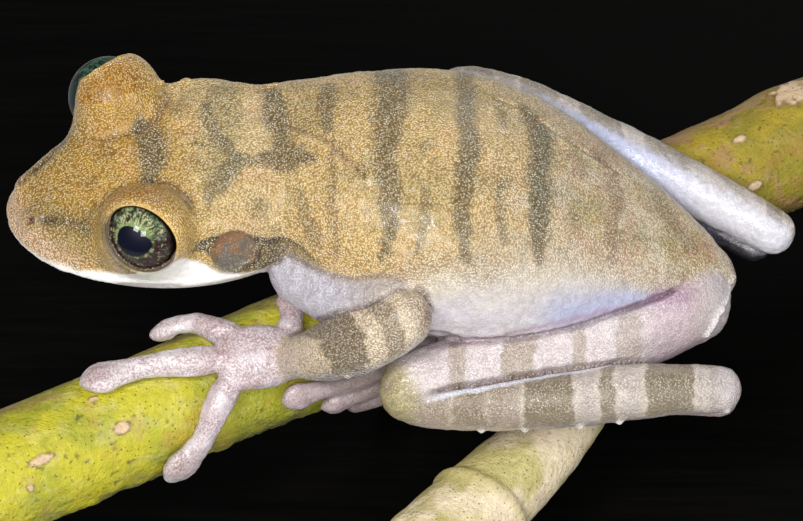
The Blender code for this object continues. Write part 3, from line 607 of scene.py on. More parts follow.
# Pairs of body parts that meet in a crease, with its depth.
CREASES = [
    ("thigh", "shank", 0.6), ("trunk", "thigh", 0.45), ("trunk", "arm", 0.2), ("arm", "forearm", 0.45),
    ("trunk", "forearm", 0.45), ("foot", "thigh", 0.4), ("foot", "shank", 0.4), ("hand", "foot", 0.3),
    ("forearm", "foot", 0.4), ("forearm", "thigh", 0.4), ("jaw", "trunk", 0.15), ("jaw", "arm", 0.15),
    ("head", "arm", 0.15),
]
# Fillings where the knees fold over, and where the rump passes into the thigh, without a crease: the
# node that each goes with, its middle and its radius.
FILLINGS = [
    ("shank_l", (-6.0, -14.2, -6.2), 2.25), ("shank_r", (-1.6, 14.6, -4.4), 2.1),
    ("thigh_l", (16.5, -4.8, -6.5), 2.6),
]
# Pointed pale tubercles along the outer edges of the limbs.
TUBERCLES = [
    (-10.1, -14.3, -3.6), (-8.6, -14.7, -1.9), (0.0, -16.2, -8.0), (3.3, -16.0, -8.3),
    (7.5, -15.7, -8.2), (10.5, -15.3, -8.2), (18.8, -13.9, -8.8), (24.9, 3.2, -6.6),
]
# Middles of the darker pads of the near hand, of the near knee's olive and of the elbow's dark spot.
FINGER_PADS = [(-29.4, -11.1, -7.4), (-23.0, -15.7, -13.5)]
KNEE_AT = (-6.9, -14.4, -6.2)
ELBOW_AT = (-3.9, -12.9, 1.9)


def skin_shape():
    """The frog's skin before its folds: one closed surface, and what part of the body each point
    belongs to."""
    names = [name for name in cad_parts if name.startswith(FLESH)]
    points, faces, owners = joined(names, SKIN_GROW)
    for name, middle, radius in FILLINGS:
        shape = bmesh.new()
        bmesh.ops.create_icosphere(shape, subdivisions=3, radius=radius)
        fill = np.array([v.co[:] for v in shape.verts]) + np.array(middle)
        faces = faces + [[v.index + len(points) for v in face.verts] for face in shape.faces]
        owners = np.concatenate([owners, np.full(len(shape.faces), names.index(name))])
        points = np.concatenate([points, fill])
        shape.free()
    mesh = remeshed(points, faces, VOXEL)
    place = points_of(mesh)
    edges = edges_of(mesh)

    tree = BVHTree.FromPolygons(points.tolist(), faces)
    nearest = np.array([tree.find_nearest(p)[2] for p in place.tolist()])
    owner = owners[nearest]
    groups = {
        "trunk": ("torso",), "head": ("head", "ear"), "jaw": ("jaw",), "arm": ("upper_arm",),
        "forearm": ("forearm",), "hand": ("hand", "finger"), "thigh": ("thigh",),
        "shank": ("shank",), "foot": ("tarsus", "foot", "toe"),
    }
    parts = {}
    for group, starts in groups.items():
        picked = [index for index, name in enumerate(names) if name.startswith(starts)]
        parts[group] = np.isin(owner, picked).astype(float)
    rounds = max(3, int(14 * DETAIL))
    shares = relaxed(np.stack([parts[g] for g in groups], 1), edges, 0.9, rounds)
    parts = {group: shares[:, k] for k, group in enumerate(groups)}
    knee = np.zeros(len(place))
    for _, middle, radius in FILLINGS:
        knee = np.maximum(knee, 1.0 - smooth(away_from(place, middle), radius, radius + 1.2))
    parts["knee"] = knee

    head = head_frame(place)
    in_head = np.clip(parts["head"] + parts["jaw"], 0.0, 1.0)
    crisp = in_head * hill(head[:, 2] - mouth_level(head[:, 0]), 0.7)
    for side in (1, -1):
        reach, rim, away, _, _ = lid_place(head, side)
        crisp = np.maximum(crisp, in_head * hill(rim, 0.7) * (away < 4.6))
    for one, other, depth in CREASES:
        meet = np.clip(8.0 * depth * parts[one] * parts[other], 0.0, 1.0) * (1.0 - knee)
        crisp = np.maximum(crisp, meet)
    large = np.clip(parts["trunk"] + in_head + parts["thigh"] + parts["shank"] + parts["arm"]
                    + parts["forearm"], 0.0, 1.0)
    place = relaxed(place, edges, 0.5, 5)
    place = relaxed(place, edges, 0.9 * large * (1.0 - 0.92 * crisp), max(8, int(55 * DETAIL)))
    place = relaxed(place, edges, 0.9 * knee, int(150 * DETAIL))
    set_points(mesh, place)
    return mesh, place, normals_of(mesh), edges, parts


def head_marks(place, parts):
    """What the head has: places in its own frame, and distances to lids, eardrums and nostrils."""
    head = head_frame(place)
    x, y, z = head.T
    in_head = np.clip(parts["head"] + parts["jaw"], 0.0, 1.0)
    marks = {"x": x, "y": y, "z": z, "in": in_head, "mouth": z - mouth_level(x)}
    marks["both"] = np.stack([x, np.abs(y), z], 1)
    rim = np.full(len(place), FAR_OFF)
    for side in (1, -1):
        reach, here, away, front, up = lid_place(head, side)
        near = (away < 4.7) & (here < FAR_OFF)
        rim = np.where(near, here, rim)
        for key, value in (("lid_up", up), ("lid_front", front), ("lid_away", away)):
            marks[key] = np.where(near, value, marks.get(key, np.zeros(len(place))))
    marks["lid"] = rim
    marks["far_lid"], marks["far_away"] = far_lid(place)
    off = marks["both"] - EAR_AT
    marks["ear"] = np.hypot(off[:, 0], off[:, 2] * 0.98 + off[:, 1] * 0.25)
    way = NOSTRIL_WAY / np.linalg.norm(NOSTRIL_WAY)
    off = marks["both"] - NOSTRIL_AT
    reach = off @ way
    across = np.linalg.norm(off - reach[:, None] * way, axis=1)
    marks["nostril"] = np.where(np.abs(reach) < 1.5, across, FAR_OFF)
    return marks


def shape_lids(place, edges):
    """Thins the lower and front lids into the face, and draws the far lid back from the ball."""
    head = head_frame(place)
    flat = np.zeros(len(place))
    for side in (1, -1):
        reach, rim, away, front, up = lid_place(head, side, -3.0)
        top = smooth(-0.45 * front + 0.89 * up, -0.35, 0.45)
        near = (away > LID_THIN) & (away < 4.8) & (reach > -0.3)
        pull = near * (1.0 - top) * (1.0 - smooth(rim, 0.15, 1.0)) * (away - LID_THIN)
        out = (place - eye_middle(side)) / np.maximum(away, 1e-6)[:, None]
        place = place - out * np.clip(pull, 0.0, 0.7)[:, None]
        zone = (1.0 - smooth(top, 0.0, 0.6)) * smooth(rim, 0.05, 0.3) * (1.0 - smooth(rim, 1.8, 2.8))
        zone *= smooth(away, LID_THIN, LID_THIN + 0.15) * (1.0 - smooth(away, 5.4, 6.2))
        zone *= rim < FAR_OFF
        flat = np.maximum(flat, zone)
    place = relaxed(place, edges, 0.9 * flat, int(300 * DETAIL))
    inside, away = far_lid(place)
    out = (place - eye_middle(-1) - FAR_EYE_OFF) / np.maximum(away, 1e-6)[:, None]
    near = (away < 4.6) & (away > EYE_RADIUS - 0.35)
    pull = near * smooth(inside, -0.02, 0.05) * (away - EYE_RADIUS + 0.3)
    return place - out * pull[:, None]


def shape_skin(place, normals, parts, marks):
    """Moves the skin for its folds, lips, eardrums, nostrils, tubercles and fine relief, and tells
    how deep in a crease each point is, for the painted shade in creases and folds."""
    move = np.full(len(place), -SKIN_SHRINK)
    digits = np.clip(parts["hand"] + parts["foot"], 0.0, 1.0)
    move += 0.1 * digits
    in_head = marks["in"]
    x, out = marks["x"], np.abs(marks["y"])
    mouth = marks["mouth"]
    front = in_head * smooth(x, -1.2, 0.6)
    lidded = hill(marks["lid"], 1.0)
    move -= front * 0.34 * hill(mouth + 0.05, 0.16)
    move += front * 0.12 * hill(mouth - 0.75, 0.42) * (1.0 - lidded)
    ear = marks["ear"]
    side_on = in_head * smooth(out, 6.4, 7.2)
    move += side_on * (0.16 * hill(ear - 1.8, 0.2) - 0.14 * (1.0 - smooth(ear, 1.1, 1.7)))
    move += in_head * (0.26 * hill(marks["nostril"], 0.9) - 0.8 * hill(marks["nostril"], 0.34))
    crease = np.zeros(len(place))
    for one, other, depth in CREASES:
        meet = np.clip(4.0 * parts[one] * parts[other], 0.0, 1.0) ** 4 * (1.0 - parts["knee"])
        move -= depth * meet
        crease = np.maximum(crease, min(1.0, 3.0 * depth) * meet**1.8)
    for points, folds, shade in ((place, FOLDS, 0.8), (marks["both"], HEAD_FOLDS, 0.9)):
        for path, width, depth, height in folds:
            away = path_place(points, path)[0]
            move += height * hill(away - 2.0 * width, width) - depth * hill(away, width)
            crease = np.maximum(crease, shade * hill(away, width))
    raised = np.zeros(len(place))
    for path, width, height, waves in RIDGES:
        away, along = path_place(place, path)
        wavy = 1.0 - waves * 0.5 * (1.0 + np.sin(4.4 * along + 2.0 * np.sin(1.7 * along)))
        move += height * wavy * hill(away, width)
        raised = np.maximum(raised, hill(away, width * 1.1))
    crease = crease * (1.0 - raised)
    for spot in TUBERCLES:
        move += 0.3 * hill(away_from(place, spot), 0.3)
    rough = np.clip(parts["trunk"] + parts["head"] + parts["thigh"] + parts["shank"] + parts["arm"]
                    + parts["forearm"], 0.0, 1.0) * (1.0 - side_on) * (1.0 - 0.8 * lidded)
    move += rough * 0.3 * (layered(place, 3.2, 5) - 0.5)
    move += rough * 0.16 * (layered(place, 1.1, 9) - 0.5)
    move += rough * 0.05 * (noise(place, 0.33, 7) - 0.5)
    flank = parts["trunk"] * (1.0 - smooth(normals[:, 2], 0.3, 0.75)) + 0.8 * parts["arm"]
    lines = place * np.array([1.0, 0.3, 0.3])
    move += np.clip(flank, 0.0, 1.0) * 0.16 * (layered(lines, 0.5, 15, 2) - 0.5)
    move += digits * (0.12 * (layered(place, 0.9, 19) - 0.5) + 0.05 * (noise(place, 0.35, 23) - 0.5))
    return place + normals * move[:, None], crease, raised


# Colours of the trunk: golden back with its patches, bars, flank, groin and rump.
GOLD = rgb(0.70, 0.51, 0.215)
GOLD_REAR = rgb(0.58, 0.45, 0.275)
GOLD_PALE = rgb(0.68, 0.60, 0.47)
GOLD_FADING = rgb(0.60, 0.54, 0.46)
ORANGE = rgb(0.68, 0.42, 0.18)
OLIVE = rgb(0.40, 0.31, 0.115)
RUST = rgb(0.50, 0.31, 0.19)
MOSS_GREY = rgb(0.36, 0.33, 0.18)
BAR = rgb(0.19, 0.14, 0.06)
BAR_COOL = rgb(0.165, 0.145, 0.08)
BAR_RED = rgb(0.26, 0.155, 0.09)
CREAM = rgb(0.58, 0.53, 0.46)
WHITE = rgb(0.62, 0.59, 0.61)
LILAC = rgb(0.48, 0.44, 0.54)
CHEST = rgb(0.46, 0.41, 0.43)
BLUE = rgb(0.35, 0.38, 0.62)
PURPLE = rgb(0.30, 0.17, 0.27)
RUMP = rgb(0.52, 0.41, 0.34)
RIDGE = rgb(0.80, 0.77, 0.80)
RIDGE_GOLD = rgb(0.66, 0.50, 0.25)
# Shares of the light that a crease keeps.
CREASE_SHADE = rgb(0.30, 0.22, 0.25)

# Colours of the head. The two tints are shares by which the crown's colour is multiplied.
GOLD_HEAD = rgb(0.56, 0.37, 0.095)
NAPE_TINT = rgb(1.0, 1.04, 1.16)
SNOUT_TINT = rgb(1.02, 0.95, 0.66)
LORE = rgb(0.30, 0.22, 0.065)
LORE_DARK = rgb(0.17, 0.125, 0.04)
NOSE = rgb(0.74, 0.52, 0.36)
NOSTRIL_RIM = rgb(0.5, 0.3, 0.16)
NOSTRIL = rgb(0.11, 0.03, 0.02)
LIP = rgb(0.95, 0.94, 0.93)
MASK = rgb(0.09, 0.055, 0.018)
DARK_LINE = rgb(0.05, 0.03, 0.015)
DRUM = rgb(0.25, 0.115, 0.045)
DRUM_GREY = rgb(0.12, 0.105, 0.085)
LID_FRONT = rgb(0.43, 0.21, 0.012)
LID_REAR = rgb(0.68, 0.46, 0.135)
# Painted highlight along the lid's edge.
LID_EDGE_HIGHLIGHT = rgb(0.80, 0.54, 0.17)
LID_UNDER = rgb(0.80, 0.74, 0.62)
# Olive in front of the eye, darkened by painted shade.
LID_BEFORE_OLIVE_AND_SHADE = rgb(0.22, 0.16, 0.045)

# Colours of the limbs.
LIMB_DARK = rgb(0.225, 0.18, 0.11)
LIMB_LIGHT = rgb(0.48, 0.42, 0.385)
SHANK_AT_KNEE = rgb(0.31, 0.245, 0.185)
SHANK_LINE = rgb(0.66, 0.59, 0.46)
SHANK_UNDER = rgb(0.40, 0.33, 0.30)
# Painted highlight along the near shank's top edge.
SHANK_EDGE_HIGHLIGHT = rgb(0.66, 0.68, 0.78)
FAR_SHANK = rgb(0.45, 0.48, 0.66)
FAR_SHANK_END = rgb(0.62, 0.61, 0.67)
HEEL = rgb(0.58, 0.52, 0.54)
KNEE = rgb(0.33, 0.285, 0.13)
THIGH_LIGHT = rgb(0.63, 0.55, 0.56)
THIGH_DARK = rgb(0.36, 0.29, 0.23)
THIGH_REAR = rgb(0.55, 0.43, 0.49)
THIGH_END = rgb(0.52, 0.42, 0.40)
# Painted shade on the far thigh, under the body.
FAR_THIGH_SHADE = rgb(0.085, 0.06, 0.085)
FOREARM_LIGHT = rgb(0.80, 0.69, 0.54)
FOREARM_LINE = rgb(0.66, 0.56, 0.34)
ARM = rgb(0.485, 0.465, 0.54)
ELBOW = rgb(0.13, 0.055, 0.04)
HAND = rgb(0.53, 0.43, 0.45)
HAND_PALE = rgb(0.62, 0.56, 0.60)
FINGERS = rgb(0.70, 0.66, 0.68)
FINGER_PAD = rgb(0.40, 0.29, 0.29)
FAR_FOOT = rgb(0.10, 0.11, 0.21)
FAR_FOOT_END = rgb(0.012, 0.012, 0.02)


class Skin:
    """The skin's points, with what several of its colours are worked out from."""

    def __init__(self, place, normals, parts, marks):
        x, y, z = place.T
        self.place = place
        self.x = x
        self.y = y
        self.normals = normals
        self.parts = parts
        self.marks = marks
        self.left = (y < 0.0).astype(float)
        self.blotch = layered(place, 2.6, 131)
        self.speck = layered(place, 0.6, 151, 2)
        # Height over the trunk's widest level as a share of the back's rise, and where gold starts.
        self.level = (z - np.interp(x, TRUNK_X, TRUNK_Z)) / np.interp(x, TRUNK_X, TRUNK_RISE)
        self.low = np.interp(x, *BACK_LOW)
        self.back = smooth(self.level + 0.16 * (self.blotch - 0.5), self.low, self.low + 0.32)
        self.bars = bars_on(place, BACK_BARS, BACK_SPOTS)
        reddish = hill(x + 11.3, 1.2) * smooth(-y, 0.0, 2.0) + hill(x - 10.0, 1.4)
        cool = blend(BAR, BAR_COOL, smooth(self.blotch, 0.4, 0.6))
        self.bar_colour = blend(cool, BAR_RED, np.clip(reddish, 0.0, 0.8))


def trunk_colour(skin):
    """Golden back with bars, over a cream and white flank that is blue towards the groin."""
    place = skin.place
    x = skin.x
    level = skin.level
    low = skin.low
    greyer = smooth(x, -4.0, 10.0)
    rear = smooth(x, -2.0, 6.0)
    gold = blend(GOLD, GOLD_REAR, greyer)
    gold = blend(gold, ORANGE, 0.3 * smooth(skin.blotch, 0.5, 0.7) * (1.0 - greyer))
    gold = blend(gold, OLIVE, 0.55 * patches(place, 3.5, 171, 0.5, 0.68))
    gold = speckled(gold, skin.speck, 0.28)
    gold = blend(gold, GOLD_PALE, 0.6 * rear * patches(place, 2.4, 181, 0.48, 0.64))
    gold = blend(gold, RUST, 0.6 * smooth(x, 4.0, 8.0) * patches(place, 1.9, 187, 0.54, 0.68))
    gold = blend(gold, MOSS_GREY, 0.5 * rear * patches(place, 1.5, 189, 0.56, 0.68))
    fading = (1.0 - smooth(level, low + 0.15, low + 0.6)) * smooth(x, -9.0, -5.0)
    gold = blend(gold, GOLD_FADING, 0.65 * fading)

    flank = blend(CREAM, WHITE, smooth(0.36 - level, 0.0, 0.3))
    flank = blend(flank, LILAC, 0.3 * smooth(skin.blotch, 0.45, 0.7))
    chest = (1.0 - smooth(x, -11.0, -6.0)) * (1.0 - smooth(level, 0.1, 0.5))
    flank = blend(flank, CHEST, 0.8 * chest)
    flank = blend(flank, BLUE, 0.8 * hill(path_place(place, GROIN)[0], 1.9))
    flank = blend(flank, PURPLE, 0.8 * hill(path_place(place, GROIN_TIP)[0], 0.6))

    trunk = blend(flank, gold, skin.back)
    rump = smooth(x, 12.5, 16.5) * (1.0 - smooth(level, 0.3, 0.95))
    trunk = blend(trunk, speckled(RUMP, skin.speck, 0.2), 0.8 * rump)
    return blend(trunk, skin.bar_colour, 0.9 * skin.bars * smooth(level, low - 0.05, low + 0.3))


def lid_colours(head, speck, marks):
    """The head's colour with its lids: golden over the ball, with a painted highlight along the edge,
    dark where they meet the ball, and in front of it olive darkened by painted shade."""
    rim = marks["lid"]
    up = marks["lid_up"]
    front = marks["lid_front"]
    top = smooth(-0.45 * front + 0.89 * up, -0.35, 0.45)
    bulge = top * (1.0 - smooth(marks["lid_away"], 3.9, 4.3))
    bulge *= smooth(rim, -0.4, 0.2) * (1.0 - smooth(rim, 2.4, 3.4))
    lid = blend(LID_FRONT, LID_REAR, smooth(-front, 0.3, 0.9))
    head = blend(head, speckled(lid, speck, 0.3), 0.8 * bulge)
    # Painted highlight along the lid's edge.
    head = blend(head, LID_EDGE_HIGHLIGHT, 0.75 * bulge * hill(rim - 0.3, 0.25))
    under = smooth(-up, 0.3, 0.6) * hill(rim - 0.14, 0.14)
    head = blend(head, LID_UNDER, 0.85 * under)
    # Olive in front of the eye, darkened by painted shade.
    before = smooth(front, 0.1, 0.5) * smooth(rim, -0.1, 0.05) * (1.0 - smooth(rim, 0.3, 0.7))
    head = blend(head, LID_BEFORE_OLIVE_AND_SHADE, 0.8 * before * (1.0 - bulge))
    lined = 0.1 * smooth(front, 0.2, 0.7) * smooth(up, -0.8, -0.3)
    head = blend(head, DARK_LINE, 0.95 * (1.0 - smooth(rim - lined, -0.12, 0.06)))
    inside = smooth(marks["far_lid"], -0.03, 0.02) * (marks["far_away"] < 4.6)
    return blend(head, DARK_LINE, 0.9 * inside)


def head_colour(skin, trunk):
    """Golden olive crown and snout, white lip, and a dark mask round the eardrum that goes on over
    the trunk. Gives the colours of head and trunk, and the shares of lip, mask and eardrum."""
    place = skin.place
    marks = skin.marks
    hx = marks["x"]
    hz = marks["z"]
    mouth = marks["mouth"]
    out = np.abs(marks["y"])
    crown = blend(GOLD_HEAD, GOLD, 1.0 - smooth(hx, 1.0, 8.0))
    crown = blend(crown, ORANGE, 0.5 * patches(place, 2.2, 191, 0.5, 0.68))
    crown = blend(crown, OLIVE * 0.9, 0.65 * patches(place, 2.8, 211, 0.48, 0.66))
    crown = crown * (0.84 + 0.3 * skin.speck)[:, None]
    crown = crown * blend(NAPE_TINT, SNOUT_TINT, smooth(hx, 3.5, 7.0))
    crown = blend(crown, skin.bar_colour, 0.9 * skin.bars * smooth(hz, 3.0, 4.6))
    lore = path_place(marks["both"], LORE_LINE)[0]
    crown = blend(crown, LORE, 0.6 * hill(lore, 1.7))
    crown = blend(crown, LORE_DARK, 0.7 * hill(lore, 0.5))
    nose = smooth(hx, 10.5, 17.0) * (1.0 - smooth(mouth, 1.4, 3.2))
    crown = blend(crown, NOSE, 0.7 * nose)

    ragged = 0.5 * (layered(place, 1.0, 231) - 0.5)
    edge = np.interp(hx, *LIP_TOP)
    lip = 1.0 - smooth(mouth + ragged, edge - 0.25, edge + 0.35)
    head = blend(crown, LIP, lip)
    low = np.interp(hx, *MASK_LOW)
    top = np.interp(hx, *MASK_TOP)
    height = mouth + 0.3 * ragged
    mask = smooth(height, low - 0.25, low + 0.2) * (1.0 - smooth(height, top - 0.2, top + 0.15))
    mask *= smooth(out, 5.8, 6.8) * (1.0 - smooth(hx, 5.4, 6.2)) * smooth(hx, -4.8, -2.6)
    mask_colour = blend(MASK, OLIVE * 0.6, smooth(skin.speck, 0.45, 0.65))
    lined = mask * hill(mouth - top + 0.18, 0.2)
    head = blend(blend(head, mask_colour, 0.92 * mask), DARK_LINE, 0.85 * lined)
    trunk = blend(blend(trunk, mask_colour, 0.6 * mask), DARK_LINE, 0.6 * lined)

    drum = smooth(out, 6.4, 7.2) * (1.0 - smooth(marks["ear"], 1.5, 1.9))
    grey = smooth(layered(place, 1.2, 251) - 0.12 * (hz - 4.0), 0.42, 0.6)
    head = blend(head, blend(DRUM, DRUM_GREY, grey), 0.9 * drum)
    head = blend(head, NOSTRIL_RIM, 0.4 * hill(marks["nostril"], 0.6))
    head = blend(head, NOSTRIL, np.clip(1.2 * hill(marks["nostril"], 0.34), 0.0, 0.97))
    head = blend(head, WHITE, smooth(-mouth, 0.05, 0.5))
    head = lid_colours(head, skin.speck, marks)
    # Painted shade along the line of the mouth, under the upper lip.
    head = blend(head, DARK_LINE, 0.7 * hill(mouth + 0.08, 0.12) * smooth(hx, -1.0, 0.5))
    return head, trunk, lip, mask, drum


def barred_limbs(skin, above, slant):
    """Colours of shanks, thighs and forearms with their bands, pale below, and the bands' strength
    over the whole skin."""
    shank_light = blend(SHANK_AT_KNEE, LIMB_LIGHT, smooth(skin.x, 0.0, 9.0))
    kinds = (
        ("shank", skin.x, SHANK_BANDS, shank_light, LIMB_DARK * 0.9, SHANK_LINE),
        ("thigh", skin.x, THIGH_BANDS, THIGH_LIGHT, THIGH_DARK, WHITE),
        ("forearm", slant, FOREARM_BANDS, FOREARM_LIGHT, LIMB_DARK * 0.95, FOREARM_LINE),
    )
    colours = {}
    banded = np.zeros(len(skin.place))
    for group, across, bands, light, dark, line in kinds:
        strength = np.zeros(len(skin.place))
        edge = np.zeros(len(skin.place))
        for tag, here in (("l", skin.left), ("r", 1.0 - skin.left)):
            some, lines = bands_on(skin.place, across, bands[tag])
            strength += some * here
            edge += lines * here
        colour = blend(speckled(light, skin.speck, 0.28), dark, 0.9 * strength)
        colour = blend(colour, line, 0.5 * edge)
        below = blend(WHITE, LILAC, 0.5 * smooth(skin.blotch, 0.4, 0.7))
        if group == "shank":
            below = blend(below, SHANK_UNDER, 0.8 * skin.left)
        colours[group] = blend(below, colour, above)
        banded += skin.parts[group] * strength * above
    return colours, banded


def limb_colours(skin):
    """Colours of the limbs by group. Also the strength of their bands, how far each point faces up,
    how bluish the far shank is, and the share of the wrists."""
    place = skin.place
    x = skin.x
    left = skin.left
    speck = skin.speck
    above = smooth(skin.normals[:, 2], -0.45, 0.0)
    slant = np.where(skin.y < 0.0, x + 0.55 * (skin.y + 11.5), x)
    colours, banded = barred_limbs(skin, above, slant)

    # The far shank is bluish white on the face that lies to the back.
    facing = smooth(-0.6 * skin.normals[:, 1] - 0.35 * skin.normals[:, 0] + 0.1, -0.1, 0.4)
    facing *= 1.0 - left
    pale = blend(FAR_SHANK, FAR_SHANK_END, smooth(x, 11.0, 19.0))
    colours["shank"] = blend(colours["shank"], pale, 0.95 * facing)

    # Olive knees, and lilac and grey rear ends of the thighs and the near shank, with painted shade
    # over the far thigh where it lies under the body.
    knee = away_from(place, KNEE_AT, (1.0, 1.0, 0.8))
    olive = (1.0 - smooth(knee, 1.8, 3.2)) * patches(place, 1.2, 311, 0.25, 0.45)
    for group in ("shank", "thigh"):
        colours[group] = blend(colours[group], speckled(KNEE, speck, 0.4), 0.85 * olive)
    thigh = blend(colours["thigh"], THIGH_REAR, 0.8 * smooth(x, 11.5, 14.5) * left)
    thigh = blend(thigh, THIGH_END, 0.7 * smooth(x, 14.5, 17.0) * left)
    # Painted shade over the far thigh.
    thigh = blend(thigh, FAR_THIGH_SHADE, 0.9 * (1.0 - left) * smooth(x, 5.0, 8.0))
    colours["thigh"] = blend(thigh, WHITE * 0.85, 0.5 * smooth(x, 16.0, 18.0))
    colours["shank"] = blend(colours["shank"], HEEL, 0.7 * smooth(x, 17.0, 18.5) * left)

    # Pale arms, with a dark spot at the elbow.
    shoulder = smooth(x, -11.5, -7.0) * smooth(skin.normals[:, 2], 0.0, 0.6)
    colours["arm"] = blend(speckled(ARM, speck, 0.24), speckled(LIMB_LIGHT, speck, 0.28), shoulder)
    elbow = away_from(place, ELBOW_AT, (1.3, 0.6, 0.8))
    for group in ("arm", "forearm"):
        colours[group] = blend(colours[group], ELBOW, 0.8 * hill(elbow, 0.8))
    wrist = smooth(-slant, 13.2, 15.8)
    colours["forearm"] = blend(colours["forearm"], HAND, 0.9 * wrist * left)

    # Pink hands and feet; the far foot lies in the body's shade.
    hand = blend(HAND, HAND_PALE, 0.7 * patches(place, 1.6, 271, 0.42, 0.62))
    hand = blend(hand, FINGERS, 0.6 * smooth(-x, 20.0, 23.0))
    for spot in FINGER_PADS:
        hand = blend(hand, FINGER_PAD, 0.6 * (1.0 - smooth(away_from(place, spot), 0.5, 1.5)))
    foot = blend(HAND * 0.88, LIMB_DARK, 0.35 * smooth(skin.blotch, 0.4, 0.6) * above)
    foot = blend(foot, FAR_FOOT, 0.9 * (1.0 - left) * smooth(x, 13.0, 16.0))
    foot = blend(foot, FAR_FOOT_END, (1.0 - left) * smooth(x, 17.4, 19.6))
    colours.update(hand=hand, foot=foot)
    return colours, banded, above, facing, wrist


def skin_colour(skin, crease, raised):
    """The skin's colour, and how granular, barred and stippled it is, at each point."""
    place = skin.place
    x = skin.x
    parts = skin.parts
    head, trunk, lip, mask, drum = head_colour(skin, trunk_colour(skin))
    colours, banded, above, facing, wrist = limb_colours(skin)
    colours.update(trunk=trunk, head=head, jaw=blend(WHITE * 1.28, LILAC, 0.2 * skin.speck))
    weight = sum(parts[group] for group in colours)
    colour = sum(colours[group] * parts[group][:, None] for group in colours)
    colour = colour / np.maximum(weight, 1e-6)[:, None]

    # What goes over the borders of the parts: purple corners, ridges, painted shade in the creases, a
    # painted highlight on the near shank's edge, and tubercles.
    colour = blend(colour, PURPLE * 1.1, 0.6 * hill(path_place(place, THIGH_TOP)[0], 0.3))
    colour = blend(colour, PURPLE * 1.2, 0.75 * hill(path_place(place, THIGH_CORNER)[0], 0.8))
    colour = blend(colour, RIDGE, 0.7 * raised * (x > -5.0) * (1.0 - 0.4 * parts["trunk"]))
    in_front = np.clip(parts["head"] + parts["trunk"], 0.0, 1.0) * (x < 0.0)
    colour = blend(colour, RIDGE_GOLD, 0.7 * np.clip(raised, 0.0, 1.0) * in_front)
    # Painted shade in the creases and folds.
    colour = blend(colour, colour * CREASE_SHADE, 0.9 * crease)
    # Painted highlight along the near shank's top edge, beside its crease with the thigh.
    beside = smooth(parts["thigh"] * parts["shank"], 0.0006, 0.012) * (parts["shank"] > 0.6)
    beside *= (1.0 - crease) * (1.0 - parts["knee"])
    colour = blend(colour, SHANK_EDGE_HIGHLIGHT, 0.8 * beside * skin.left)
    for spot in TUBERCLES:
        colour = blend(colour, LIP, 0.8 * hill(away_from(place, spot), 0.32))

    granular = parts["trunk"] * (0.2 + 0.8 * skin.back) * (1.0 - 0.22 * smooth(x, 0.0, 10.0))
    granular += parts["head"] * (1.0 - 0.9 * lip) * (1.0 - 0.7 * drum)
    granular += 0.42 * (parts["thigh"] + parts["shank"] * (1.0 - 0.8 * facing)) * above
    granular += parts["forearm"] * (0.95 - 0.5 * wrist) + 0.4 * parts["arm"]
    granular += 0.14 * (parts["hand"] + parts["foot"] + parts["jaw"])
    granular *= 1.0 - 0.8 * (1.0 - smooth(skin.marks["lid"], 0.0, 0.3))
    dark = skin.bars * (parts["trunk"] * skin.back + parts["head"])
    dark += 0.7 * banded + 0.5 * mask * parts["head"]
    stipple = np.clip(parts["hand"] + 0.6 * parts["foot"] + 0.5 * parts["forearm"], 0.0, 1.0)
    stipple *= smooth(skin.normals[:, 2], -0.4, 0.2) * patches(place, 1.6, 291, 0.25, 0.5)
    return colour, np.clip(granular, 0.0, 1.0), np.clip(dark, 0.0, 1.0), stipple


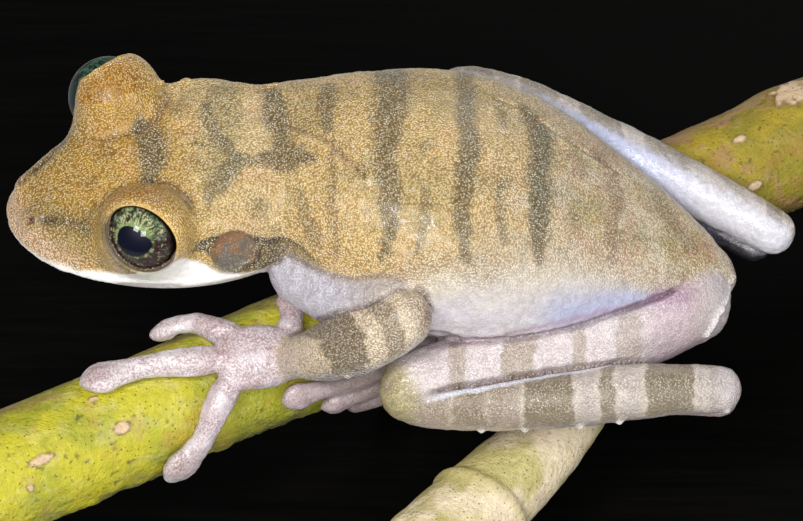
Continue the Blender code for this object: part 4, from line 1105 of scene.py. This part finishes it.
class Graph:
    """A material's node tree, with short ways to add and join nodes."""

    def __init__(self, name):
        self.material = bpy.data.materials.new(name)
        self.material.use_nodes = True
        self.tree = self.material.node_tree
        self.shader = self.tree.nodes["Principled BSDF"]

    def node(self, kind, inputs=(), **settings):
        """Adds a node; inputs are pairs of a socket and a value or an output."""
        made = self.tree.nodes.new(kind)
        for key, value in settings.items():
            setattr(made, key, value)
        for socket, value in inputs:
            self.feed(made.inputs[socket], value)
        return made

    def feed(self, socket, value):
        """Sets a socket, or links an output to it."""
        if isinstance(value, bpy.types.NodeSocket):
            self.tree.links.new(value, socket)
        elif isinstance(value, (tuple, list)) and len(value) == 3 and len(socket.default_value) == 4:
            socket.default_value = (*value, 1.0)
        else:
            socket.default_value = value

    def attribute(self, name):
        """A number kept for each point of the mesh."""
        return self.node("ShaderNodeAttribute", attribute_name=name).outputs["Fac"]

    def colour(self, name):
        """A colour kept for each point of the mesh."""
        return self.node("ShaderNodeAttribute", attribute_name=name).outputs["Color"]

    def place(self):
        """The object's own coordinates."""
        return self.node("ShaderNodeTexCoord").outputs["Object"]

    def noise(self, size, detail=2.0, roughness=0.5, vector=None):
        """Noise with features of a size in metres."""
        inputs = [("Vector", vector or self.place()), ("Scale", 1.0 / size), ("Detail", detail),
                  ("Roughness", roughness)]
        return self.node("ShaderNodeTexNoise", inputs).outputs["Fac"]

    def cells(self, size, vector=None, feature="F1"):
        """Distance to the nearest of cells of a size in metres, from 0 at each cell's middle."""
        inputs = [("Vector", vector or self.place()), ("Scale", 1.0 / size)]
        return self.node("ShaderNodeTexVoronoi", inputs, feature=feature).outputs["Distance"]

    def math(self, operation, one, two=0.0):
        """Arithmetic on two numbers."""
        return self.node("ShaderNodeMath", [(0, one), (1, two)], operation=operation).outputs[0]

    def range(self, value, low, high, to_low=0.0, to_high=1.0):
        """Maps a range of numbers to another, held at its ends."""
        inputs = [("Value", value), ("From Min", low), ("From Max", high), ("To Min", to_low),
                  ("To Max", to_high)]
        return self.node("ShaderNodeMapRange", inputs).outputs[0]

    def mix(self, share, one, other, mode="MIX"):
        """Mixes two colours."""
        made = self.tree.nodes.new("ShaderNodeMix")
        made.data_type = "RGBA"
        made.blend_type = mode
        self.feed(made.inputs[0], share)
        self.feed(made.inputs[6], one)
        self.feed(made.inputs[7], other)
        return made.outputs[2]

    def mottled(self, colour, size, detail, roughness, darkest):
        """A colour with its brightness varied by noise, from the darkest share to a little over 1."""
        value = self.range(self.noise(size, detail, roughness), 0.3, 0.7, darkest, 1.12)
        tint = self.node("ShaderNodeCombineColor", [(0, value), (1, value), (2, value)]).outputs[0]
        return self.mix(1.0, colour, tint, "MULTIPLY")

    def bump(self, height, distance, strength=1.0, normal=None):
        """A bump from a height, whose full range stands for a distance in metres."""
        inputs = [("Height", height), ("Distance", distance), ("Strength", strength)]
        made = self.node("ShaderNodeBump", inputs)
        if normal is not None:
            self.feed(made.inputs["Normal"], normal)
        return made.outputs["Normal"]

    def finish(self, **values):
        """Sets or links the shader's sockets, named with underscores for spaces."""
        for name, value in values.items():
            self.feed(self.shader.inputs[name.replace("_", " ")], value)
        return self.material


def skin_material():
    """Moist granular skin: the kept colour, broken up by granules whose tips get painted highlights and
    whose grooves get painted shade, with the granules' relief. Sizes are in metres."""
    g = Graph("moist_skin")
    base = g.colour("hue")
    granular = g.attribute("granular")
    bars = g.attribute("bars")
    stipple = g.attribute("stipple")
    grain = g.cells(0.00017)
    tip = g.range(grain, 0.16, 0.4, 1.0, 0.0)
    groove = g.range(grain, 0.42, 0.7)
    sparse = g.range(g.noise(0.0011, 3.0, 0.6), 0.36, 0.6)
    # Painted shade in the grooves between the granules.
    shade = g.mix(g.math("MULTIPLY", groove, g.math("MULTIPLY", granular, 0.9)), base,
                  g.mix(1.0, base, (0.43, 0.35, 0.24), "MULTIPLY"))
    # Painted highlights on the granules' tips: pale specks, whiter in places, that stand in for glints
    # of light on the moist skin.
    wet = g.range(g.noise(0.0003, 1.0), 0.42, 0.6)
    pale = g.mix(g.range(wet, 0.0, 1.0, 0.42, 0.82), base, (1.0, 0.98, 0.96))
    pale = g.mix(g.range(bars, 0.1, 0.6, 0.0, 0.8), pale, (0.88, 0.81, 0.68))
    amount = g.math("MULTIPLY", tip, g.math("MULTIPLY", granular, g.range(bars, 0.0, 0.7, 0.85, 1.0)))
    amount = g.math("MULTIPLY", amount, g.range(sparse, 0.0, 1.0, 0.4, 1.0))
    colour = g.mix(amount, shade, pale)
    net = g.math("MULTIPLY", g.range(g.cells(0.00016), 0.4, 0.66), g.math("MULTIPLY", stipple, 0.75))
    colour = g.mix(net, colour, g.mix(1.0, colour, (0.56, 0.40, 0.38), "MULTIPLY"))
    colour = g.mottled(colour, 0.0005, 3.0, 0.6, 0.86)
    height = g.range(grain, 0.05, 0.6, 1.0, 0.0)
    height = g.math("MULTIPLY", height, g.range(granular, 0.0, 1.0, 0.12, 1.0))
    normal = g.bump(height, 0.0001, 1.0)
    normal = g.bump(g.noise(0.0003, 3.0, 0.6), 0.00004, 0.7, normal)
    rough = g.range(g.noise(0.0008, 2.0), 0.3, 0.7, 0.28, 0.44)
    return g.finish(Base_Color=colour, Roughness=rough, Normal=normal, Subsurface_Weight=0.08,
                    Subsurface_Radius=(0.0007, 0.0004, 0.00025), Subsurface_Scale=1.0, Coat_Weight=0.42,
                    Coat_Roughness=0.21, Coat_Normal=normal, Specular_IOR_Level=0.5)


def make_skin():
    """The skin, from its shape to its material."""
    mesh, place, normals, edges, parts = skin_shape()
    place = shape_lids(place, edges)
    normals = normals_at(mesh, place)
    marks = head_marks(place, parts)
    place, crease, raised = shape_skin(place, normals, parts, marks)
    ceiling = CAD_BOX[1][2] / MM - FROG_AT[2]
    place[:, 2] = np.minimum(place[:, 2], ceiling)
    set_points(mesh, place)
    normals = normals_of(mesh)
    kept = skin_colour(Skin(place, normals, parts, marks), crease, raised)
    for name, values in zip(("hue", "granular", "bars", "stipple"), kept):
        store(mesh, name, values)
    skin = dressed(mesh, "skin", place, skin_material())
    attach(skin, "root")
    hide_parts(*[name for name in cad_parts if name.startswith(FLESH)])


# The pupil's edge: angle from the rear towards up, in degrees, and distance over the ball's radius.
PUPIL_EDGE = (
    [0.0, 39.0, 98.0, 141.0, 172.0, 210.0, 281.0, 319.0],
    [0.45, 0.29, 0.345, 0.475, 0.44, 0.375, 0.36, 0.385],
)
# Colours of the eyes: upper iris with rays and teal, lower iris with rays and flecks, the ring round
# the pupil, and the dark parts.
IRIS = rgb(0.15, 0.215, 0.075)
IRIS_RAYS = rgb(0.40, 0.39, 0.22)
IRIS_TEAL = rgb(0.035, 0.13, 0.085)
LOWER_IRIS = rgb(0.022, 0.013, 0.012)
LOWER_RAYS = rgb(0.085, 0.075, 0.045)
LOWER_FLECKS = rgb(0.20, 0.21, 0.12)
IRIS_RING = rgb(0.13, 0.24, 0.06)
VEINS = rgb(0.022, 0.005, 0.006)
PUPIL = rgb(0.0008, 0.0014, 0.009)
BALL_EDGE = rgb(0.003, 0.003, 0.003)
BALL_BACK = rgb(0.003, 0.005, 0.012)
LID_SHADE = rgb(0.004, 0.003, 0.003)
# The far eye lies in shade: shares of the light it keeps, its edge and what is past that.
FAR_EYE_SHADE = rgb(0.15, 0.3, 0.4)
FAR_EYE_EDGE = rgb(0.005, 0.024, 0.02)
FAR_EYE_PAST = rgb(0.003, 0.005, 0.015)


def pupil_share(rho, turn):
    """Distance from an eye's middle as a share of the pupil's edge, at angles in degrees."""
    fine = np.arange(0.0, 360.0, 2.0)
    edge = np.interp(fine, *PUPIL_EDGE, period=360.0)
    for _ in range(40):
        edge = 0.5 * edge + 0.25 * (np.roll(edge, 1) + np.roll(edge, -1))
    return rho / np.interp(turn, fine, edge, period=360.0)


def iris_colour(rearward, up, back, place, rim, far):
    """Colour of an eye's surface: rearward and up are its own coordinates over the radius, and rim
    the distance outside the edge of the lids' opening."""
    rho = np.hypot(rearward, up)
    angle = np.arctan2(up, rearward)
    pupil = pupil_share(rho, np.degrees(angle) % 360.0)
    rays = np.stack([np.cos(angle) * 9.0, np.sin(angle) * 9.0, rho * 8.0], 1)
    streak = layered(rays, 0.55, 331, 3)
    net = layered(place, 0.34, 301, 2)
    colour = blend(IRIS, IRIS_RAYS, smooth(streak, 0.45, 0.62))
    teal = smooth(rho, 0.42, 0.75) * patches(place, 0.5, 361, 0.42, 0.6)
    colour = blend(colour, IRIS_TEAL, 0.75 * teal)

    # The lower, front and rear parts are dim and brown.
    sloped = up - 0.30 * rearward * (rearward > 0.0) + 0.14 * (net - 0.5)
    dim = smooth(-sloped, -0.20, 0.10)
    dim = np.maximum(dim, 0.8 * smooth(-rearward, 0.35, 0.65))
    dim = np.maximum(dim, 0.9 * smooth(rearward, 0.55, 0.75))
    lower = blend(LOWER_IRIS, LOWER_RAYS, smooth(streak, 0.54, 0.68))
    lower = blend(lower, LOWER_FLECKS, smooth(noise(place, 0.2, 371), 0.72, 0.85))
    colour = blend(colour, lower, dim)
    veins = smooth(streak, 0.45, 0.34) + (1.0 - smooth(np.abs(net - 0.5), 0.02, 0.06))
    colour = blend(colour, VEINS, 0.92 * np.clip(veins, 0.0, 1.0) * smooth(rho, 0.40, 0.52))

    ring = smooth(pupil, 1.0, 1.05) * (1.0 - smooth(pupil, 1.08, 1.25))
    colour = blend(colour, IRIS_RING, 0.6 * ring * (1.0 - 0.75 * dim))
    colour = blend(colour, PUPIL, 1.0 - smooth(pupil, 0.96, 1.02))
    colour = blend(colour, BALL_EDGE, smooth(rho, 0.80, 0.88))
    if far:
        colour = colour * FAR_EYE_SHADE
        colour = blend(colour, FAR_EYE_EDGE, hill(rho - 0.86, 0.1))
        colour = blend(colour, FAR_EYE_PAST, smooth(rho, 0.93, 0.98))
    else:
        shaded = smooth(rim + 0.16 * np.clip(rearward, 0.0, 1.0), -0.34, -0.12)
        colour = blend(colour, LID_SHADE, shaded)
    return blend(colour, BALL_BACK, back)


def make_eyes():
    """The two eyes: balls with a netted iris and a pupil, glossy on the near side."""
    materials = []
    for name, wet in (("wet_eye", 1.0), ("shaded_eye", 0.12)):
        g = Graph(name)
        materials.append(g.finish(Base_Color=g.colour("hue"), Roughness=0.45, Coat_Weight=wet,
                                  Coat_Roughness=0.03, Coat_IOR=1.28, Specular_IOR_Level=0.1))
    rings = 220
    sides = 340
    for side, tag in ((1, "l"), (-1, "r")):
        looking = eye_axis(side, PUPIL_LIFT, PUPIL_FORWARD)
        front, up = (from_head(v) for v in eye_frame(looking))
        axis = from_head(looking)
        centre = eye_middle(side)
        if side < 0:
            centre = centre + FAR_EYE_OFF
        angles = np.pi * (np.linspace(0.0, 1.0, rings + 1)[1:-1]) ** 1.25
        turns = 2.0 * np.pi * np.arange(sides) / sides
        a, t = np.meshgrid(angles, turns, indexing="ij")
        a = a.ravel()
        t = t.ravel() * side
        local = np.stack([np.sin(a) * np.cos(t), np.sin(a) * np.sin(t), np.cos(a)], 1)
        local = np.concatenate([local, [[0.0, 0.0, 1.0], [0.0, 0.0, -1.0]]])
        out = local * EYE_RADIUS
        points = centre - out[:, :1] * front + out[:, 1:2] * up + out[:, 2:3] * axis
        faces = []
        rows = len(angles)
        for r in range(rows - 1):
            for s in range(sides):
                n = (s + 1) % sides
                faces.append((r * sides + s, (r + 1) * sides + s, (r + 1) * sides + n, r * sides + n))
        top = rows * sides
        for s in range(sides):
            n = (s + 1) % sides
            faces.append((top, s, n))
            faces.append((top + 1, (rows - 1) * sides + n, (rows - 1) * sides + s))
        eye = mesh_piece("eyeball_" + tag, points, faces)
        shape = bmesh.new()
        shape.from_mesh(eye.data)
        if shape.calc_volume(signed=True) < 0.0:
            bmesh.ops.reverse_faces(shape, faces=shape.faces)
        shape.to_mesh(eye.data)
        shape.free()
        back = smooth(-local[:, 2], -0.3, -0.1)
        place = local * EYE_RADIUS + 50.0 * side
        rim = lid_place(head_frame(points), side, -4.0)[1]
        store(eye.data, "hue", iris_colour(local[:, 0], local[:, 1], back, place, rim, side < 0))
        eye.data.materials.append(materials[0 if side > 0 else 1])
        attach(eye, "root")
        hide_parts("eye_" + tag)


def bark_frame(place):
    """How far along the branch each point is, and its offset from a point of the middle line."""
    off = place - BRANCH_THROUGH
    return off @ BRANCH_WAY, off


# Corky spots of the bark: place on the branch, half length and half width.
LENTICELS = [
    ((-33.3, -17.6, -9.8), 1.1, 0.4), ((-27.3, -14.4, -9.9), 0.7, 0.55),
    ((-27.9, -15.6, -10.9), 1.0, 0.3), ((-34.1, -19.3, -11.0), 0.35, 0.3),
    ((-29.5, -12.4, -8.8), 0.4, 0.35), ((26.0, 19.4, -8.5), 2.7, 1.7),
    ((21.1, 14.1, -9.0), 0.7, 0.35), ((22.3, 11.1, -11.1), 0.8, 0.4),
    ((-22.0, -15.0, -12.0), 0.5, 0.25), ((-18.0, -12.6, -13.0), 0.45, 0.25),
    ((-38.5, -20.0, -10.2), 0.7, 0.3), ((-31.0, -19.0, -13.6), 0.6, 0.3),
]
# A line of brown scab on the branch by the near thumb, and the ring of the side stem: the stem's
# heading and a point on the ring.
SCAB = [(-15.0, -9.6, -9.0), (-12.0, -7.0, -8.9), (-10.5, -3.0, -8.7)]
STEM_WAY = np.array([-0.5, -0.86, 0.0])
STEM_RING = np.array([1.2, -16.6, 0.0])
# Colours of the bark: green in two shades, with rusty, pale, upper, mossy and corky places; the
# stem's; and the cut wood's.
BARK = rgb(0.50, 0.455, 0.02)
BARK_GREEN = rgb(0.36, 0.36, 0.02)
BARK_BROWN = rgb(0.44, 0.29, 0.05)
BARK_STREAK = rgb(0.50, 0.47, 0.15)
BARK_UPPER = rgb(0.21, 0.19, 0.02)
BARK_RUST = rgb(0.33, 0.19, 0.06)
BARK_DOTS = rgb(0.05, 0.045, 0.012)
BARK_MOSS = rgb(0.15, 0.145, 0.075)
BARK_PALE = rgb(0.62, 0.56, 0.24)
CORK = rgb(0.66, 0.47, 0.31)
CORK_EDGE = rgb(0.17, 0.09, 0.03)
SCAB_BROWN = rgb(0.33, 0.17, 0.05)
RING_BROWN = rgb(0.34, 0.28, 0.10)
FAR_END_TINT = rgb(0.72, 0.58, 0.42)
FAR_END_BROWN = rgb(0.36, 0.20, 0.09)
STEM = rgb(0.77, 0.64, 0.44)
STEM_GREEN = rgb(0.50, 0.43, 0.17)
WOOD = rgb(0.62, 0.52, 0.30)
WOOD_RING = rgb(0.46, 0.35, 0.17)
PITH = rgb(0.30, 0.22, 0.10)
WOOD_EDGE = rgb(0.25, 0.27, 0.05)


def bark_shape(names):
    """The branch and its stem as one surface: the mesh, its points and normals, and what its colours
    are worked out from."""
    points, faces, owners = joined(names, 0.17)
    mesh = remeshed(points, faces, 0.2)
    place = points_of(mesh)
    edges = edges_of(mesh)
    along, _ = bark_frame(place)
    ends = np.maximum(hill(along - BRANCH_ENDS[0], 0.8), hill(along - BRANCH_ENDS[1], 0.8))
    place = relaxed(place, edges, 0.8 * (1.0 - ends), 30)
    normals = normals_at(mesh, place)
    along, off = bark_frame(place)
    tree = BVHTree.FromPolygons(points.tolist(), faces)
    on_stem = owners[np.array([tree.find_nearest(p)[2] for p in place.tolist()])].astype(float)
    on_stem = relaxed(on_stem, edges, 0.9, 20)[:, 0]

    streaks = np.stack([along * 0.25, off[:, 1], off[:, 2]], 1)
    move = np.full(len(place), -0.16)
    move += 0.34 * (layered(place, 4.5, 401) - 0.5) + 0.14 * (layered(streaks, 0.9, 421) - 0.5)
    below = smooth(-normals[:, 2], -0.4, 0.5) * (1.0 - on_stem)
    move += below * 0.5 * (layered(place, 1.1, 441) - 0.45)
    cork = np.zeros(len(place))
    for spot, long, wide in LENTICELS:
        away = place - np.array(spot)
        run = away @ BRANCH_WAY
        rest = np.sqrt(np.maximum((away**2).sum(1) - run**2, 0.0))
        shape = np.hypot(run / long, rest / wide) + 0.5 * (noise(place, 0.4, 461) - 0.5)
        cork = np.maximum(cork, 1.0 - smooth(shape, 0.75, 1.15))
    move += 0.2 * cork
    scab = (1.0 - smooth(path_place(place, SCAB)[0], 1.2, 2.6)) * patches(place, 1.3, 481, 0.4, 0.55)
    move += 0.3 * scab * layered(place, 0.6, 491)
    ring = on_stem * hill((place - STEM_RING) @ STEM_WAY, 0.45)
    move += 0.35 * ring
    place = place + normals * (move * (1.0 - ends) - 0.16 * ends)[:, None]
    marks = {"along": along, "off": off, "streaks": streaks, "ends": ends, "stem": on_stem,
             "below": below, "cork": cork, "scab": scab, "ring": ring}
    return mesh, place, normals_at(mesh, place), marks


def bark_colour(place, normals, marks):
    """The bark's colour, with the cut wood at its ends."""
    streaks = marks["streaks"]
    on_stem = marks["stem"]
    cork = marks["cork"]
    blotch = layered(place, 3.0, 501)
    colour = blend(BARK, BARK_GREEN, smooth(blotch, 0.4, 0.64))
    colour = blend(colour, BARK_BROWN, 0.5 * patches(place, 2.0, 521, 0.58, 0.7))
    colour = blend(colour, BARK_STREAK, 0.3 * patches(streaks, 1.2, 541, 0.55, 0.72))
    upper = smooth(normals[:, 1], 0.1, 0.75) * (1.0 - on_stem)
    colour = blend(colour, BARK_UPPER, 0.7 * upper)
    colour = blend(colour, BARK_RUST, 0.7 * upper * patches(streaks, 1.6, 631, 0.45, 0.6))
    colour = blend(colour, blend(STEM, STEM_GREEN, smooth(blotch, 0.4, 0.65)), on_stem)
    dots = smooth(noise(place, 0.42, 561), 0.84, 0.9)
    colour = blend(colour, BARK_DOTS, 0.7 * dots * (1.0 - 0.6 * on_stem))
    colour = blend(colour, BARK_MOSS, 0.75 * marks["below"] * patches(place, 1.6, 581, 0.35, 0.6))
    pale = patches(place, 1.0, 601, 0.6, 0.72) * smooth(normals[:, 2], 0.0, 0.6)
    colour = blend(colour, BARK_PALE, 0.25 * pale)
    colour = blend(colour, CORK, 0.9 * cork)
    colour = blend(colour, CORK_EDGE, np.clip(3.2 * cork * (1.0 - cork), 0.0, 0.8))
    colour = blend(colour, SCAB_BROWN, 0.9 * marks["scab"])
    colour = blend(colour, RING_BROWN, 0.5 * marks["ring"])
    far_end = smooth(marks["along"], 14.0, 20.0)
    colour = blend(colour, colour * FAR_END_TINT, far_end * (1.0 - cork))
    colour = blend(colour, FAR_END_BROWN, 0.6 * far_end * patches(place, 1.8, 621, 0.5, 0.62))

    across = np.hypot(marks["off"][:, 2], marks["off"] @ BRANCH_FAR_SIDE)
    cut = marks["ends"] * (np.abs(normals @ BRANCH_WAY) > 0.8)
    year = 0.5 + 0.5 * np.sin(across * 9.0 + 2.0 * noise(place, 1.5, 641))
    wood = blend(WOOD, WOOD_RING, year)
    wood = blend(wood, PITH, hill(across, 0.45))
    wood = blend(wood, WOOD_EDGE, smooth(across, 4.0, 4.3))
    return blend(colour, wood, cut)


def bark_material():
    """Young bark: the kept colour with dark specks and a fine relief. Sizes are in metres."""
    g = Graph("young_bark")
    base = g.mottled(g.colour("hue"), 0.0006, 4.0, 0.65, 0.84)
    specks = g.range(g.cells(0.00046), 0.1, 0.2, 0.75, 0.0)
    colour = g.mix(specks, base, (0.03, 0.03, 0.012))
    coarse = g.math("MULTIPLY", g.noise(0.0016, 3.0), 0.8)
    height = g.math("ADD", g.noise(0.0004, 4.0, 0.7), coarse)
    rough = g.range(g.noise(0.001, 2.0), 0.3, 0.7, 0.38, 0.6)
    return g.finish(Base_Color=colour, Roughness=rough, Normal=g.bump(height, 0.00022, 0.9),
                    Subsurface_Weight=0.05, Subsurface_Radius=(0.0006, 0.0006, 0.0002),
                    Subsurface_Scale=1.0)


def make_bark():
    """The branch with its side stem, as one piece of young bark with cut ends."""
    names = ["perch_branch", "perch_stem"]
    mesh, place, normals, marks = bark_shape(names)
    store(mesh, "hue", bark_colour(place, normals, marks))
    bark = dressed(mesh, "bark", place, bark_material())
    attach(bark, "root")
    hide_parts(*names)


def make_stand():
    """The black base with eased edges, and the steel rods."""
    low, high = (np.array(corner) / MM - FROG_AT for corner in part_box("stand_base"))
    corner = 6.0
    edge = 0.7
    steps = 12
    rings = []
    for k in range(2 * steps + 2):
        if k <= steps:
            a = math.pi / 2.0 * k / steps
            inset, height = edge * (1.0 - math.sin(a)), low[2] + edge * (1.0 - math.cos(a))
        else:
            a = math.pi / 2.0 * (k - steps - 1) / steps
            inset, height = edge * (1.0 - math.cos(a)), high[2] - edge * (1.0 - math.sin(a))
        ring = []
        for n, (sx, sy) in enumerate(((1, 1), (-1, 1), (-1, -1), (1, -1))):
            cx = (low[0] + high[0]) / 2.0 + sx * ((high[0] - low[0]) / 2.0 - corner)
            cy = (low[1] + high[1]) / 2.0 + sy * ((high[1] - low[1]) / 2.0 - corner)
            for s in range(17):
                b = math.radians(90.0 * n + 90.0 * s / 16.0)
                reach = corner - inset
                ring.append((cx + reach * math.cos(b), cy + reach * math.sin(b), height))
        rings.append(ring)
    base = mesh_piece("base_board", *stacked(rings))
    base.data.set_sharp_from_angle(angle=math.radians(40.0))
    g = Graph("black_stained_wood")
    place = g.place()
    stretched = g.node("ShaderNodeMapping", [("Vector", place), ("Scale", (0.06, 1.0, 1.0))]).outputs[0]
    grain = g.noise(0.0007, 5.0, 0.6, stretched)
    pores = g.range(g.noise(0.00035, 2.0, 0.5, stretched), 0.62, 0.72)
    colour = g.mix(g.range(grain, 0.35, 0.65), (0.0008, 0.0008, 0.0007), (0.0020, 0.0018, 0.0015))
    normal = g.bump(g.math("SUBTRACT", grain, pores), 0.00003, 0.5)
    rough = g.range(grain, 0.3, 0.7, 0.55, 0.68)
    base.data.materials.append(g.finish(Base_Color=colour, Roughness=rough, Normal=normal,
                                        Specular_IOR_Level=0.03))
    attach(base, "root")
    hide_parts("stand_base")

    g = Graph("brushed_steel")
    place = g.place()
    rings_of = g.node("ShaderNodeMapping", [("Vector", place), ("Scale", (0.3, 0.3, 6.0))]).outputs[0]
    brush = g.noise(0.0006, 4.0, 0.6, rings_of)
    rough = g.range(brush, 0.3, 0.7, 0.22, 0.4)
    colour = g.mix(brush, (0.42, 0.42, 0.43), (0.58, 0.58, 0.6))
    steel = g.finish(Base_Color=colour, Metallic=1.0, Roughness=rough,
                     Normal=g.bump(brush, 0.00002, 0.4))
    for tag in "ab":
        low, high = (np.array(corner) / MM - FROG_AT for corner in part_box("stand_rod_" + tag))
        middle = (low + high) / 2.0
        radius = (high[0] - low[0]) / 2.0
        sides = 48
        levels = [(radius - 0.15, low[2]), (radius, low[2] + 0.15), (radius, high[2] + 0.4)]
        turns = [2.0 * math.pi * s / sides for s in range(sides)]
        rings = [
            [(middle[0] + reach * math.cos(a), middle[1] + reach * math.sin(a), height) for a in turns]
            for reach, height in levels
        ]
        rod = mesh_piece("rod_" + tag, *stacked(rings))
        rod.data.set_sharp_from_angle(angle=math.radians(40.0))
        rod.data.materials.append(steel)
        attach(rod, "root")
        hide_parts("stand_rod_" + tag)


def make_floor():
    """A plain pale floor."""
    bpy.ops.mesh.primitive_plane_add(size=3.0, location=(0.0, 0.0, -0.0002))
    floor = bpy.context.object
    floor.name = "floor"
    g = Graph("pale_floor")
    floor.data.materials.append(g.finish(Base_Color=(0.62, 0.62, 0.6), Roughness=0.8))


def aimed(made, at, target):
    """Places an object and turns its -Z towards a target."""
    made.location = at
    made.rotation_euler = (Vector(target) - Vector(at)).to_track_quat("-Z", "Y").to_euler()


def make_camera_and_lights():
    """The photo's viewing angle, and soft studio light from the camera's side."""
    forward = np.array([0.0, math.cos(CAMERA_LIFT), -math.sin(CAMERA_LIFT)])
    target = (LOOK_AT + FROG_AT) * MM
    at = target - forward * CAMERA_AWAY * MM
    camera = linked("camera", bpy.data.cameras.new("camera"))
    camera.data.sensor_width = SENSOR
    camera.data.lens = SENSOR * FOCAL_PIXELS / FRAME_PIXELS
    camera.data.clip_start = 0.01
    camera.data.clip_end = 10.0
    aimed(camera, at, target)
    bpy.context.scene.camera = camera

    # Lights: name, place, size, power and colour.
    frog = Vector((FROG_AT * MM).tolist())
    lights = (
        ("key", (-0.12, -0.18, 0.33), 0.09, 0.95, (1.0, 0.985, 0.96)),
        ("flash", (-0.008, -0.235, 0.27), 0.08, 0.62, (1.0, 0.99, 0.98)),
        ("fill", (0.28, -0.20, 0.20), 0.22, 0.42, (0.94, 0.97, 1.0)),
        ("back", (0.12, 0.34, 0.26), 0.2, 0.4, (1.0, 1.0, 1.0)),
    )
    for name, place, size, power, colour in lights:
        lamp = linked(name, bpy.data.lights.new(name, "AREA"))
        lamp.data.size = size
        lamp.data.energy = power
        lamp.data.color = colour
        aimed(lamp, Vector(place), frog)
    world = bpy.data.worlds.new("studio")
    world.use_nodes = True
    world.node_tree.nodes["Background"].inputs["Color"].default_value = (0.9, 0.93, 1.0, 1.0)
    world.node_tree.nodes["Background"].inputs["Strength"].default_value = 0.16
    bpy.context.scene.world = world
    bpy.context.scene.view_settings.view_transform = "Standard"


make_camera_and_lights()
make_floor()
make_stand()
make_bark()
make_skin()
make_eyes()
